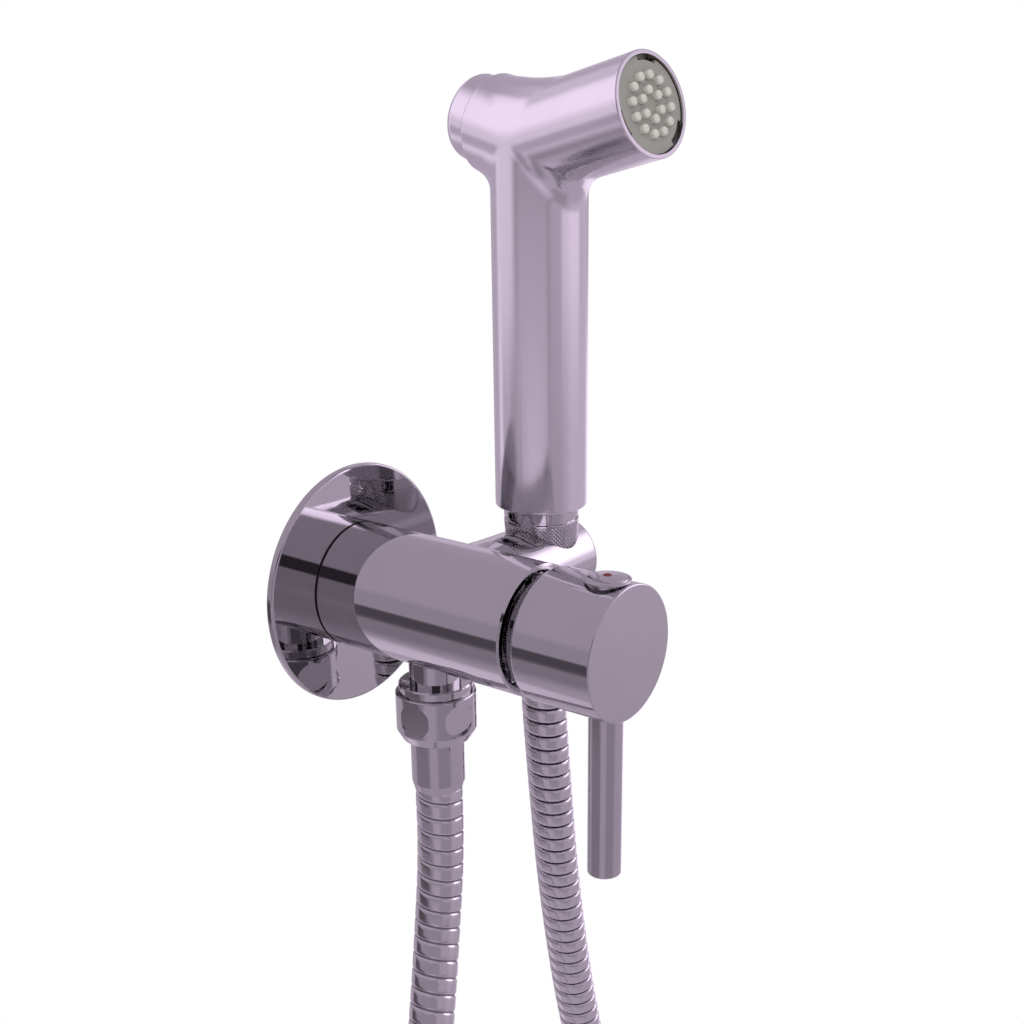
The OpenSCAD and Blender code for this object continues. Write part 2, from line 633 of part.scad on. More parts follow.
// Grub screw that holds the knob on the stem, under the indicator plug
module grub_screw() color("gray") translate([0, -lever_out, stem_w / 2 + socket_room]) set_screw(grub_r, 6);

// Plug over the grub screw, with the coloured mark that shows warm and cold
plug_rise = 1.9;
plug_rim = 0.8;
dome_bulge = plug_rise - plug_rim;
plug_sphere = (pow(plug_r, 2) + pow(dome_bulge, 2)) / (2 * dome_bulge);
module indicator_plug() color("silver") translate([0, -lever_out, plug_seat]) difference() {
    union() {
        hole(plug_stem_r, -3.5, 0);
        hole(plug_r, 0, plug_rim);
        intersection() {
            translate([0, 0, plug_rise - plug_sphere]) sphere(r = plug_sphere);
            hole(plug_r, plug_rim - seat_fit, plug_rise + cut);
        }
    }
    hole(mark_r + seat_fit, plug_rise - 0.7, plug_rise + cut);
}
module temperature_mark() color("firebrick") translate([0, -lever_out, plug_seat])
    hole(mark_r, plug_rise - 0.7, plug_rise - 0.1);

// Nut that joins the handset to the hose: it rests in the arm's tapered seat
groove_at = 15.4;
groove_w = 0.9;
groove_in = 0.5;
module knurled_nut() color("silver") translate([handset_x, -arm_out, 0]) difference() {
    rotate_extrude() polygon([[ferrule_neck_r + 0.2, nut_bottom], [nut_cone_r(nut_bottom), nut_bottom],
        [nut_r, arm_r], [nut_r, handle_bottom - 0.3], [nut_r - 0.3, handle_bottom],
        [pipe_thread_r, handle_bottom], [pipe_thread_r, nut_bottom + web_t],
        [ferrule_neck_r + 0.2, nut_bottom + web_t]]);
    ring(nut_r + cut, nut_r - groove_in, groove_at - groove_w / 2, groove_at + groove_w / 2);
}

// Frames of the handset: its handle's axis, and the axes of the spray head and of the button
module at_handset() translate([handset_x, -arm_out, 0]) rotate([0, 0, handset_yaw]) children();
module at_yoke() at_handset() translate([0, 0, yoke_z]) children();
module along_head() at_yoke() rotate([90 - head_tilt, 0, 0]) children();
module along_rear() at_yoke() rotate([rear_tilt - 90, 0, 0]) children();

// Threaded connector in the handle's foot, with a socket for the supply tube
module handset_connector() color("goldenrod") at_handset() rotate_extrude() polygon([
    [washer_hole_r, connector_bottom], [pipe_thread_r - seat_fit, connector_bottom],
    [pipe_thread_r - seat_fit, handle_bottom], [handle_bore_r - seat_fit, handle_bottom],
    [handle_bore_r - seat_fit, handle_bottom + connector_len],
    [tube_r + seat_fit, handle_bottom + connector_len],
    [tube_r + seat_fit, handle_bottom + connector_len - tube_seat],
    [washer_hole_r, handle_bottom + connector_len - tube_seat]]);

// Plastic tube that carries the water up the handle
tube_top = handle_bottom + handle_bore_top + tube_seat;
module supply_tube() color("whitesmoke") at_handset()
    ring(tube_r, tube_r - tube_wall, handle_bottom + connector_len - tube_seat, tube_top);

// Skin of the handset: three tubes of one radius that flow into each other. Each tube is walked in
// rings from its open end to the plane half way to its neighbour, where the two meet point for point.
quarter = 9;
turns = 4 * quarter;
tubes = [head_axis, handle_axis, rear_axis];
tube_len = [head_reach, yoke_height, rear_reach];
tube_edge = [0.35, 0.7, 1];
ring_steps = [[0.07, 0.16, 0.28, 0.42, 0.62, 1], [0.02, 0.045, 0.08, 0.13, 1], [0.25, 0.5, 0.75, 1]];
function tube_gap(p, n) = norm(p - max(0, p * n) * n) - handle_r;
function soft_min(a, b, k) = let (h = max(k - abs(a - b), 0) / k) min(a, b) - h * h * k / 4;
function skin_gap(p) = let (side = 1.002 - pow(min(abs(p[0]) / handle_r, 1), 2))
    soft_min(soft_min(tube_gap(p, head_axis), tube_gap(p, rear_axis), top_blend * side),
        tube_gap(p, handle_axis), side_blend * side);
function search(from, way, near, far, n) = n == 0 ? from + way * (near + far) / 2
    : let (mid = (near + far) / 2) skin_gap(from + way * mid) < 0
        ? search(from, way, mid, far, n - 1) : search(from, way, near, mid, n - 1);
function sideways(n, turn) = cos(turn) * cross([1, 0, 0], n) + sin(turn) * [1, 0, 0];
function seam_way(n, m, turn) = let (e = sideways(n, turn), way = e - n * (e * (n - m)) / (n * (n - m)))
    way / norm(way);
function seam_point(k, j) = search([0, 0, 0], seam_way(tubes[k], tubes[(k + 1) % 3], 360 * j / turns),
    0.5 * handle_r, 8 * handle_r, 30);
seam_size = 2 * quarter - 1;
seam_points = concat([search([0, 0, 0], [1, 0, 0], 0, 2 * handle_r, 30),
    search([0, 0, 0], [-1, 0, 0], 0, 2 * handle_r, 30)],
    [for (k = [0 : 2]) for (j = [1 - quarter : quarter - 1]) seam_point(k, j)]);
// Index of the seam point where tube k's line number i starts
function seam_index(k, i) = i == quarter ? 0 : i == 3 * quarter ? 1
    : i < quarter ? 2 + k * seam_size + i + quarter - 1
    : i > 3 * quarter ? 2 + k * seam_size + i - turns + quarter - 1
    : 2 + ((k + 2) % 3) * seam_size + 3 * quarter - i - 1;
function tube_ring(k, w) = [for (i = [0 : turns - 1]) let (n = tubes[k],
    from = seam_points[seam_index(k, i)] * n, at = from + (tube_len[k] - tube_edge[k] - from) * w)
    search(at * n, sideways(n, 360 * i / turns), 0.5 * handle_r, 3 * handle_r, 24)];
function end_ring(k) = [for (i = [0 : turns - 1])
    tube_len[k] * tubes[k] + (handle_r - tube_edge[k]) * sideways(tubes[k], 360 * i / turns)];
function tube_points(k) = concat([for (w = ring_steps[k]) each tube_ring(k, w)], end_ring(k),
    [tube_len[k] * tubes[k]]);
function tube_start(k) = k == 0 ? len(seam_points)
    : tube_start(k - 1) + turns * (len(ring_steps[k - 1]) + 1) + 1;
function tube_faces(k, from) = let (rings = len(ring_steps[k]) + 1, last = from + (rings - 1) * turns)
    concat([for (i = [0 : turns - 1]) let (j = (i + 1) % turns, a = seam_index(k, i), b = seam_index(k, j))
        each [[a, from + j, b], [a, from + i, from + j]]],
        skin_faces(from, rings, turns, false),
        [for (i = [0 : turns - 1]) [last + turns, last + (i + 1) % turns, last + i]]);
module handset_skin() polyhedron(convexity = 6,
    points = concat(seam_points, tube_points(0), tube_points(1), tube_points(2)),
    faces = [for (k = [0 : 2]) each tube_faces(k, tube_start(k))]);

// Handset shell: a chromed casting with the handle's bore, the spray chamber and the valve's bore
head_bore_from = 10;
bore_turn = 3;
relief_r = seal_r + 0.6;
relief_from = valve_front - 2 - seal_disc_t - button_travel;
water_way_r = tube_r - tube_wall;
module handset_shell() color("thistle") difference() {
    at_yoke() handset_skin();
    at_handset() rotate(bore_turn) {
        hole(handle_bore_r, handle_bottom - cut, handle_bottom + handle_bore_top);
        hole(tube_r + seat_fit, handle_bottom, tube_top);
        hole(water_way_r, handle_bottom, yoke_z);
    }
    along_head() rotate(bore_turn) {
        hole(head_bore_r, head_bore_from, head_reach);
        hole(face_r, head_reach - face_depth, head_reach + cut);
    }
    along_rear() rotate(bore_turn) {
        hole(valve_r + seat_fit, valve_front, rear_reach);
        hole(relief_r, relief_from, 0);
        hole(button_r + run_fit, rear_reach - button_well, rear_reach + cut);
    }
}

// Valve housing: a sleeve with the valve seat at its inner end and a gland for the stem outside
sleeve_wall = 2;
seat_wall = 1.5;
seat_hole_r = 3.2;
valve_end = rear_reach - button_well;
module valve_housing() color("whitesmoke") difference() {
    along_rear() difference() {
        hole(valve_r, valve_front, valve_end);
        hole(valve_r - sleeve_wall, valve_front + seat_wall, valve_end - gland_t);
        hole(seat_hole_r, valve_front - cut, 0);
        hole(stem_r + run_fit, 0, valve_end + cut);
    }
    at_handset() hole(water_way_r, tube_top, yoke_z);
}

// Valve stem, screwed into the button, with the rubber disc that closes the seat
seal_at = valve_front - free_fit;
module valve_stem() color("silver") along_rear() hole(stem_r, seal_at - seal_disc_t - 0.6, boss_end);
module valve_seal() color("dimgray") along_rear()
    ring(seal_r, stem_r + 0.02, seal_at - seal_disc_t, seal_at);

// Trigger button: a domed cap that slides in the end of its housing
button_face = rear_reach + button_stands;
button_wall = 1.8;
skirt_end = valve_end + button_travel + free_fit;
boss_end = button_face - 3;
boss_r = 3.4;
boss_from = valve_end + button_travel + 1;
arc_steps = 6;
module trigger_button() color("thistle") along_rear() difference() {
    rotate_extrude() polygon(concat([[0, skirt_end], [button_r, skirt_end]],
        [for (i = [0 : arc_steps]) let (a = 90 * i / arc_steps) [button_r - button_round * (1 - cos(a)),
            button_face - button_round * (1 - sin(a))]], [[0, button_face]]));
    ring(button_r - button_wall, boss_r, skirt_end - cut, button_face - button_round);
    hole(boss_r + cut, skirt_end - cut, boss_from);
    hole(stem_r + 0.02, boss_from - cut, boss_end);
}

// Spring that returns the button, between the valve housing and the cap
spring_r = 6;
spring_wire = 1;
spring_turns = 4;
spring_sides = 6;
spring_rings = 8;
spring_from = valve_end + spring_wire / 2 + seat_fit;
spring_to = button_face - button_round - spring_wire / 2 - seat_fit;
module button_spring() {
    count = spring_turns * spring_rings;
    points = [for (k = [0 : count]) let (turn = 360 * k / spring_rings,
        out = [cos(turn), sin(turn), 0],
        mid = spring_r * out + [0, 0, spring_from + (spring_to - spring_from) * k / count])
        for (i = [0 : spring_sides - 1]) let (a = 360 * i / spring_sides)
        mid + spring_wire / 2 * (cos(a) * out + sin(a) * [0, 0, 1])];
    last = count * spring_sides;
    color("silver") along_rear() polyhedron(points = points, convexity = 6, faces = concat(
        skin_faces(0, count + 1, spring_sides, true),
        [[for (i = [0 : spring_sides - 1]) i]],
        [[for (i = [spring_sides - 1 : -1 : 0]) last + i]]));
}

// Spray head, from the shelf in the shell outwards: seal, flow disc, nozzle mat and spray plate
head_seal_t = 0.6;
flow_disc_t = 1.6;
flow_hole_r = 1.5;
mat_t = 1.2;
plate_recess = 0.8;
nozzle_rise = 1.8;
nozzle_r = 1.2;
nozzle_edge = 0.5;
jet_r = 0.4;
outer_ring_r = 7.3;
inner_ring_r = 3.6;
outer_phase = 23;
inner_phase = 37;
shelf = head_reach - face_depth;
flow_at = shelf + head_seal_t;
mat_at = flow_at + flow_disc_t;
plate_at = mat_at + mat_t;
plate_front = head_reach - plate_recess;
plate_r = face_r - 0.25;
notch_depth = 1.1;
notch_turn = 34;
notch_phase = 65;
module nozzle_places() {
    for (i = [0 : outer_nozzles - 1]) rotate(outer_phase + 360 * i / outer_nozzles)
        translate([outer_ring_r, 0, 0]) children();
    for (i = [0 : inner_nozzles - 1]) rotate(inner_phase + 360 * i / inner_nozzles)
        translate([inner_ring_r, 0, 0]) children();
}
module head_seal() color("dimgray") along_head() ring(face_r - seat_fit, head_bore_r, shelf, flow_at);
module flow_disc() color("whitesmoke") along_head() difference() {
    hole(face_r - seat_fit, flow_at, mat_at);
    for (turn = [0 : 60 : 300]) rotate(turn) translate([outer_ring_r - 2, 0, 0])
        hole(flow_hole_r, flow_at - cut, mat_at + cut);
}
module nozzle_mat() color("ivory") along_head() difference() {
    union() {
        hole(face_r - 1, mat_at, plate_at);
        nozzle_places() {
            hole(nozzle_r, plate_at - seat_fit, plate_front + nozzle_rise - nozzle_edge);
            translate([0, 0, plate_front + nozzle_rise - nozzle_edge])
                cylinder(r1 = nozzle_r, r2 = nozzle_r - nozzle_edge, h = nozzle_edge);
        }
    }
    nozzle_places() hole(jet_r, mat_at - cut, plate_front + nozzle_rise + cut);
}
module spray_plate() color("gray") along_head() difference() {
    hole(plate_r, plate_at, plate_front);
    nozzle_places() hole(nozzle_r + seat_fit, plate_at - cut, plate_front + cut);
    for (turn = [0, 120, 240]) rotate(notch_phase + turn) rotate_extrude(angle = notch_turn)
        translate([plate_r - notch_depth, plate_at - cut])
            square([notch_depth + cut, plate_front - plate_at + 2 * cut]);
}

wall_manifold();
wall_gasket();
rosette();
mixer_body();
body_set_screw();
inlet_seal();
neck_oring();
holder_arm();
holder_bush();
outlet_nipple();
outlet_oring();
hose_nut();
hose_washer();
lower_ferrule();
hose();
cartridge_housing();
cartridge_seals();
fixed_disc();
retaining_nut();
dome_cover();
turret();
pivot_pin();
moving_disc();
disc_carrier();
stem();
knob();
lever_pin();
grub_screw();
indicator_plug();
temperature_mark();
upper_ferrule();
knurled_nut();
handset_washer();
handset_connector();
supply_tube();
handset_shell();
valve_housing();
head_seal();
flow_disc();
nozzle_mat();
spray_plate();
trigger_button();
valve_stem();
valve_seal();
button_spring();
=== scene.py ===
import json
import math

import bmesh
import bpy
import numpy as np
from mathutils import Matrix, Vector


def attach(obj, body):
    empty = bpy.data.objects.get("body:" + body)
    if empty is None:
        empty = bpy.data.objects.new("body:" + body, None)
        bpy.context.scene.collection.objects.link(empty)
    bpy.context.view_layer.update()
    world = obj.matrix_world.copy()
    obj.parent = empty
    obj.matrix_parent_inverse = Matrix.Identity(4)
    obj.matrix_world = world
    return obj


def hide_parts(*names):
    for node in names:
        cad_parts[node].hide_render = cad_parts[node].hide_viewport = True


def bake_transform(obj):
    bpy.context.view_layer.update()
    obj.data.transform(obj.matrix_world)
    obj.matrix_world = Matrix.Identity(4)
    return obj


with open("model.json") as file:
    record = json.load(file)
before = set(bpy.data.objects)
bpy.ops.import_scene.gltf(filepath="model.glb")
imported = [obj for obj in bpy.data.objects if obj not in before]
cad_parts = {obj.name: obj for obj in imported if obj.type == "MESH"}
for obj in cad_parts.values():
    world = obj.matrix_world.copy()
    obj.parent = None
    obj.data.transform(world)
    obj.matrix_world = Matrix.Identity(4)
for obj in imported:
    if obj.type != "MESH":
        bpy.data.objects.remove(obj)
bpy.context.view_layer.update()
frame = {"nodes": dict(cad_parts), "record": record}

nodes = frame["nodes"]
MM = 0.001
ORIGIN = Vector((0, 0, 0))

# Camera
# Stands to the left of the mixer and a little above it, a short telephoto at half a metre. The
# shift keeps the lens level with the mixer while the whole handset stays in the frame.
bpy.ops.object.select_all(action="DESELECT")
bpy.ops.object.camera_add(location=(-0.30371, -0.29843, 0.14578))
camera = bpy.context.object
camera.name = "camera"
camera.data.lens = 53.80
camera.data.shift_x = -0.0523
camera.data.shift_y = 0.1422
camera.data.clip_start = 0.01
aim = Vector((0.0328, -0.0521, -0.0221)) - camera.location
camera.rotation_euler = aim.to_track_quat("-Z", "Y").to_euler()
bpy.context.scene.camera = camera
bpy.context.scene.view_settings.view_transform = "Standard"

# Hose
# A metal shower hose: two chromed steel strips wound into each other as a screw, so that every turn
# is a flat rib with rounded shoulders and a narrow groove, whose colour is painted dark as its shade.
# It hangs in one loop from the outlet to the handset, and its turns stand a little further apart where
# it leaves the outlet.
HOSE_R, GROOVE_R, HOSE_SIDES = 6.96 * MM, 6.15 * MM, 32
ROUTE = [[0, -0.03, -0.0569], [0, -0.03, -0.064], [0, -0.03, -0.072], [-0.0008, -0.03, -0.086],
    [-0.0035, -0.0307, -0.1015], [-0.0085, -0.033, -0.118], [-0.015, -0.036, -0.137],
    [-0.022, -0.039, -0.16], [-0.029, -0.0415, -0.188], [-0.035, -0.0435, -0.22],
    [-0.04, -0.045, -0.254], [-0.0443, -0.0455, -0.29], [-0.0474, -0.046, -0.326],
    [-0.049, -0.046, -0.358], [-0.0495, -0.0458, -0.385], [-0.0484, -0.0454, -0.41],
    [-0.0399, -0.045, -0.4334], [-0.024, -0.0446, -0.4524], [-0.0025, -0.0443, -0.4648],
    [0.022, -0.044, -0.469], [0.0465, -0.0437, -0.4648], [0.068, -0.0432, -0.4524],
    [0.0839, -0.0426, -0.4334], [0.0924, -0.0416, -0.41], [0.0936, -0.0403, -0.385],
    [0.093, -0.039, -0.358], [0.091, -0.0376, -0.326], [0.088, -0.0364, -0.292],
    [0.084, -0.0354, -0.259], [0.0787, -0.0342, -0.227], [0.072, -0.0332, -0.194],
    [0.0652, -0.0325, -0.164], [0.0592, -0.0327, -0.136], [0.054, -0.0332, -0.108],
    [0.0502, -0.0337, -0.082], [0.0475, -0.034, -0.06], [0.046, -0.034, -0.044],
    [0.0454, -0.034, -0.032], [0.0454, -0.034, -0.024], [0.0454, -0.034, -0.0163]]


def smooth_line(points, steps):
    """Points of one smooth curve through the given ones."""
    p = np.array(points, float)
    p = np.vstack([2 * p[0] - p[1], p, 2 * p[-1] - p[-2]])
    line = []
    for a, b, c, d in zip(p, p[1:], p[2:], p[3:]):
        for t in np.arange(steps) / steps:
            line.append(0.5 * (2 * b + (c - a) * t + (2 * a - 5 * b + 4 * c - d) * t ** 2
                               + (3 * b - a - 3 * c + d) * t ** 3))
    return np.array(line + [p[-2]])


hose_line = smooth_line(ROUTE, 12)
hose_run = np.concatenate([[0], np.cumsum(np.linalg.norm(np.diff(hose_line, axis=0), axis=1))])
# How far apart the turns are at some places, which are metres along the hose
PITCH_PLACES, PITCHES = [0, 0.25, 0.6, 0.957], [5.2 * MM, 5.2 * MM, 4.9 * MM, 4.75 * MM]
turns_at = np.cumsum(np.diff(hose_run, prepend=0) / np.interp(hose_run, PITCH_PLACES, PITCHES))
hose_turns = int(turns_at[-1])
turns_at *= hose_turns / turns_at[-1]
# One turn of the strip, from groove to groove: share of the turn, and depth under the rib
rib = [(0, 1), (0.045, 0.97), (0.09, 0.5), (0.125, 0.22), (0.19, 0.05), (0.33, 0), (0.55, 0),
       (0.72, 0), (0.84, 0.05), (0.905, 0.22), (0.945, 0.5), (0.975, 0.9)]
rows = (hose_turns + 1) * len(rib)
row, side = np.meshgrid(np.arange(rows), np.arange(HOSE_SIDES), indexing="ij")
share = np.array([at for at, down in rib])[row % len(rib)]
depth = np.array([down for at, down in rib])[row % len(rib)]
turn = np.clip(row // len(rib) + share + side / HOSE_SIDES - 1, 0, hose_turns)
along = np.interp(turn, turns_at, hose_run)
centre = np.stack([np.interp(along, hose_run, hose_line[:, i]) for i in range(3)], -1)
slope = np.gradient(hose_line, hose_run, axis=0)
tangent = np.stack([np.interp(along, hose_run, slope[:, i]) for i in range(3)], -1)
tangent /= np.linalg.norm(tangent, axis=-1, keepdims=True)
right = np.cross(tangent, [0, 1, 0])
right /= np.linalg.norm(right, axis=-1, keepdims=True)
over = np.cross(right, tangent)
angle = (2 * math.pi * side / HOSE_SIDES)[..., None]
# Under the outlet the grooves are shallower and their painted shade is lighter, and by half way they are at
# their full depth and full painted shade
OPEN_PLACES, OPEN_SHARES, LEAST_GROOVE_SHADE = [0.2, 0.45], [0.55, 1], 0.4
opened = np.interp(along, OPEN_PLACES, OPEN_SHARES)
radius = (HOSE_R - (HOSE_R - GROOVE_R) * depth * opened)[..., None]
shade = depth * (LEAST_GROOVE_SHADE + (1 - LEAST_GROOVE_SHADE) * opened)
points = (centre + radius * (np.cos(angle) * right + np.sin(angle) * over)).reshape(-1, 3)
faces = []
for r in range(rows - 1):
    for i in range(HOSE_SIDES):
        a, d = r * HOSE_SIDES + i, (r + 1) * HOSE_SIDES + i
        b, c = a + 1, d + 1
        if i == HOSE_SIDES - 1:
            if r + len(rib) + 1 >= rows:
                continue
            b, c = (r + len(rib)) * HOSE_SIDES, (r + len(rib) + 1) * HOSE_SIDES
        faces.append((a, d, c, b))
hose_mesh = bpy.data.meshes.new("hose_strip")
hose_mesh.from_pydata(points.tolist(), [], faces)
# The groove attribute holds how much painted shade each point of a groove gets
groove = hose_mesh.attributes.new("groove", "FLOAT", "POINT")
groove.data.foreach_set("value", shade.reshape(-1).astype(np.float32))
clean = bmesh.new()
clean.from_mesh(hose_mesh)
bmesh.ops.remove_doubles(clean, verts=clean.verts, dist=1e-6)
bmesh.ops.delete(clean, geom=[v for v in clean.verts if not v.link_faces], context="VERTS")
bmesh.ops.holes_fill(clean, edges=[e for e in clean.edges if e.is_boundary], sides=0)
bmesh.ops.recalc_face_normals(clean, faces=clean.faces)
clean.to_mesh(hose_mesh)
clean.free()
hose_mesh.shade_smooth()
hose_strip = bpy.data.objects.new("hose_strip", hose_mesh)
bpy.context.collection.objects.link(hose_strip)


def linear(code):
    """A colour written as sRGB hex, as the shaders want it."""
    parts = [int(code[i:i + 2], 16) / 255 for i in (1, 3, 5)]
    return [c / 12.92 if c <= 0.04045 else ((c + 0.055) / 1.055) ** 2.4 for c in parts] + [1]


def add(material, kind, inputs, **settings):
    """Adds a node with its settings; an input is a value, or another node's output."""
    tree = material.node_tree
    node = tree.nodes.new("ShaderNode" + kind)
    for name, value in settings.items():
        setattr(node, name, value)
    for name, value in inputs.items():
        if isinstance(value, bpy.types.NodeSocket):
            tree.links.new(value, node.inputs[name])
        else:
            node.inputs[name].default_value = value
    return node


def new_material(name):
    material = bpy.data.materials.new(name)
    material.use_nodes = True
    material.node_tree.nodes.clear()
    return material


def finish_surface(material, shader):
    add(material, "OutputMaterial", {"Surface": shader.outputs[0]})
    return material


# Chrome plate over wound steel strip: bright ribs with a faint drawn grain, and grooves whose colour
# is mixed towards near black as painted shade of the gap between the strips.
hose_chrome = new_material("chrome_on_wound_strip")
place = add(hose_chrome, "TexCoord", {})
groove_shade_in = add(hose_chrome, "Attribute", {}, attribute_name="groove")
grain = add(hose_chrome, "TexNoise", {"Vector": place.outputs["Object"], "Scale": 900.0,
                                      "Detail": 3.0})
tone = add(hose_chrome, "Mix", {0: grain.outputs["Fac"], 6: linear("#D2D1D3"), 7: linear("#C9C8CA")},
           data_type="RGBA")
# Painted shade: the deeper the groove, the nearer its base colour goes to near black #17131A
dark = add(hose_chrome, "MapRange", {"Value": groove_shade_in.outputs["Fac"], "From Min": 0.4,
                                     "From Max": 0.9})
paint = add(hose_chrome, "Mix", {0: dark.outputs[0], 6: tone.outputs[2], 7: linear("#17131A")},
            data_type="RGBA")
rough = add(hose_chrome, "MapRange", {"Value": grain.outputs["Fac"], "From Min": 0.3, "From Max": 0.7,
                                      "To Min": 0.10, "To Max": 0.2})
shader = add(hose_chrome, "BsdfPrincipled", {"Base Color": paint.outputs[2], "Metallic": 1.0,
                                             "Roughness": rough.outputs[0]})
finish_surface(hose_chrome, shader)
hose_mesh.materials.append(hose_chrome)
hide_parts("hose")
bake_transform(hose_strip)

# Studio
# A white room: a pale floor under the mixer and the white wall that the rosette is fixed to. The wall
# is drawn on its room side alone, so the pipes that are built into it show from behind.
def white_paper(name, own_light, one_sided):
    """Glows to the eye and in a reflection by that share, and is plain paper for light and shadow."""
    paper = new_material(name)
    seen = add(paper, "LightPath", {})
    eye = add(paper, "Math", {0: seen.outputs["Is Camera Ray"], 1: seen.outputs["Is Glossy Ray"]},
              operation="MAXIMUM")
    eye = add(paper, "Math", {0: eye.outputs[0], 1: seen.outputs["Is Transmission Ray"]},
              operation="MAXIMUM")
    share = add(paper, "Math", {0: eye.outputs[0], 1: own_light}, operation="MULTIPLY")
    plain = add(paper, "BsdfDiffuse", {"Color": linear("#F4F4F4")})
    glow = add(paper, "Emission", {"Color": linear("#FFFFFF"), "Strength": 1.0})
    shader = add(paper, "MixShader", {0: share.outputs[0], 1: plain.outputs[0], 2: glow.outputs[0]})
    if one_sided:
        side = add(paper, "NewGeometry", {})
        shader = add(paper, "MixShader", {0: side.outputs["Backfacing"], 1: shader.outputs[0],
                                          2: add(paper, "BsdfTransparent", {}).outputs[0]})
    return finish_surface(paper, shader)


FLOOR_Z, WALL_Y, ROOM = -0.56, 0.0003, 30
bpy.ops.object.select_all(action="DESELECT")
bpy.ops.mesh.primitive_plane_add(size=ROOM, location=(0, 0, FLOOR_Z))
floor = bpy.context.object
floor.name = "floor"
floor.data.materials.append(white_paper("floor_paper", 0.85, False))
bpy.ops.mesh.primitive_plane_add(size=ROOM, location=(0, WALL_Y, FLOOR_Z + ROOM / 2),
                                 rotation=(math.pi / 2, 0, 0))
wall = bpy.context.object
wall.name = "wall"
wall.data.materials.append(white_paper("wall_paper", 1.0, True))
wall.visible_diffuse = wall.visible_glossy = wall.visible_transmission = wall.visible_shadow = False
floor.visible_glossy = False
world = bpy.data.worlds.new("white_room")
world.use_nodes = True
world.node_tree.nodes["Background"].inputs["Color"].default_value = (1, 1, 1, 1)
world.node_tree.nodes["Background"].inputs["Strength"].default_value = 1.0
bpy.context.scene.world = world

# Light tent
# A grey paper tent that is only seen in reflections. Its panels are lighter and darker, which is what
# draws the bands on the chrome: each is a stretch of azimuth and elevation, seen from the mixer. Clear
# tents inside it add a few lights for the handset, for the mixer's mirror chrome and for the hose.
TENT_GREY, TENT_R = "#C4B5C8", 2.4


def tent(name, radius, panels, base):
    """A sphere of glowing paper; a panel is azimuth, half width, bottom, top, soft edge, level."""
    bpy.ops.mesh.primitive_uv_sphere_add(segments=48, ring_count=24, radius=radius)
    cloth = bpy.context.object
    cloth.name = name
    paper = new_material(name)
    place = add(paper, "TexCoord", {})
    way = add(paper, "VectorMath", {0: place.outputs["Object"]}, operation="NORMALIZE")
    height = add(paper, "SeparateXYZ", {0: way.outputs[0]})
    flat = add(paper, "VectorMath", {0: way.outputs[0], 1: (1, 1, 0)}, operation="MULTIPLY")
    flat = add(paper, "VectorMath", {0: flat.outputs[0]}, operation="NORMALIZE")
    level = add(paper, "Value", {})
    level.outputs[0].default_value = base
    for azimuth, half, bottom, top, soft, value in panels:
        out = math.radians(azimuth)
        facing = add(paper, "VectorMath", {0: flat.outputs[0], 1: (math.cos(out), math.sin(out), 0)},
                     operation="DOT_PRODUCT")
        limits = [(facing.outputs["Value"], math.cos(math.radians(min(half + soft, 180))),
                   math.cos(math.radians(max(half - soft, 0))))]
        limits += [(height.outputs["Z"], math.sin(math.radians(bottom - soft)),
                    math.sin(math.radians(bottom + soft))),
                   (height.outputs["Z"], math.sin(math.radians(top + soft)),
                    math.sin(math.radians(top - soft)))]
        share = None
        for source, edge, inside in limits:
            part = add(paper, "MapRange", {"Value": source, "From Min": edge, "From Max": inside},
                       interpolation_type="SMOOTHSTEP")
            share = part if share is None else add(
                paper, "Math", {0: share.outputs[0], 1: part.outputs[0]}, operation="MULTIPLY")
        level = add(paper, "Mix", {0: share.outputs[0], 2: level.outputs[0], 3: value})
    glow = add(paper, "Emission", {"Color": linear(TENT_GREY), "Strength": level.outputs[0]})
    if base == 0:
        clear = add(paper, "BsdfTransparent", {})
        glow = add(paper, "AddShader", {0: clear.outputs[0], 1: glow.outputs[0]})
    cloth.data.materials.append(finish_surface(paper, glow))
    cloth.visible_camera = cloth.visible_diffuse = cloth.visible_shadow = False
    cloth.visible_transmission = False
    return cloth


tent_grey = tent("tent_grey", TENT_R, [
    (140, 42, -80, -30, 10, 1.0), (92, 16, -62, -46, 8, 1.6), (150, 34, -46, -14, 8, 0.6),
    (-112, 26, -46, -14, 8, 0.73), (12, 16, -45, -8, 4, 2.1), (140, 34, -12, 12, 5, 0.82),
    (140, 30, -25, -10, 2.5, 0.27), (140, 30, -21.5, -9.5, 2, 0.2), (-160, 42, -13, 16, 6, 0.72),
    (-34, 36, -22, 24, 7, 1.2), (-6, 21, 28, 50, 4, 1.4), (40, 10, 2, 18, 4, 1.35),
    (-137, 18, 13, 28, 1.5, 0.1), (140, 180, -90, -60, 12, 1.35)], 1.0)
tent_handset = tent("tent_handset", TENT_R * 0.9, [
    (104, 40, 24, 46, 8, 0.45), (124, 27, -32, 58, 8, 0.8), (122, 24, 8, 50, 8, 1.25),
    (158, 20, -30, -8, 4, 0.55), (-160, 35, -26, -3, 5, 0.4), (-63, 26, -8, 30, 4, 0.6)], 0)
tent_polished = tent("tent_polished", TENT_R * 0.8, [
    (-38, 19, -7, 6, 4, 0.9), (-30, 22, 4, 30, 5, 3.0)], 0)
tent_hose = tent("tent_hose", TENT_R * 0.7, [(-137, 20, 12, 30, 1.5, 0.62)], 0)
polished_pieces = bpy.data.collections.new("polished_pieces")
tent_polished.light_linking.receiver_collection = polished_pieces
bpy.ops.object.light_add(type="AREA", location=(-0.6, -0.9, 1.1))
key = bpy.context.object
key.name = "key_light"
key.data.shape, key.data.size = "DISK", 0.9
key.data.energy = 4
key.visible_glossy = False
key.rotation_euler = (Vector((0, -0.05, 0)) - key.location).to_track_quat("-Z", "Y").to_euler()


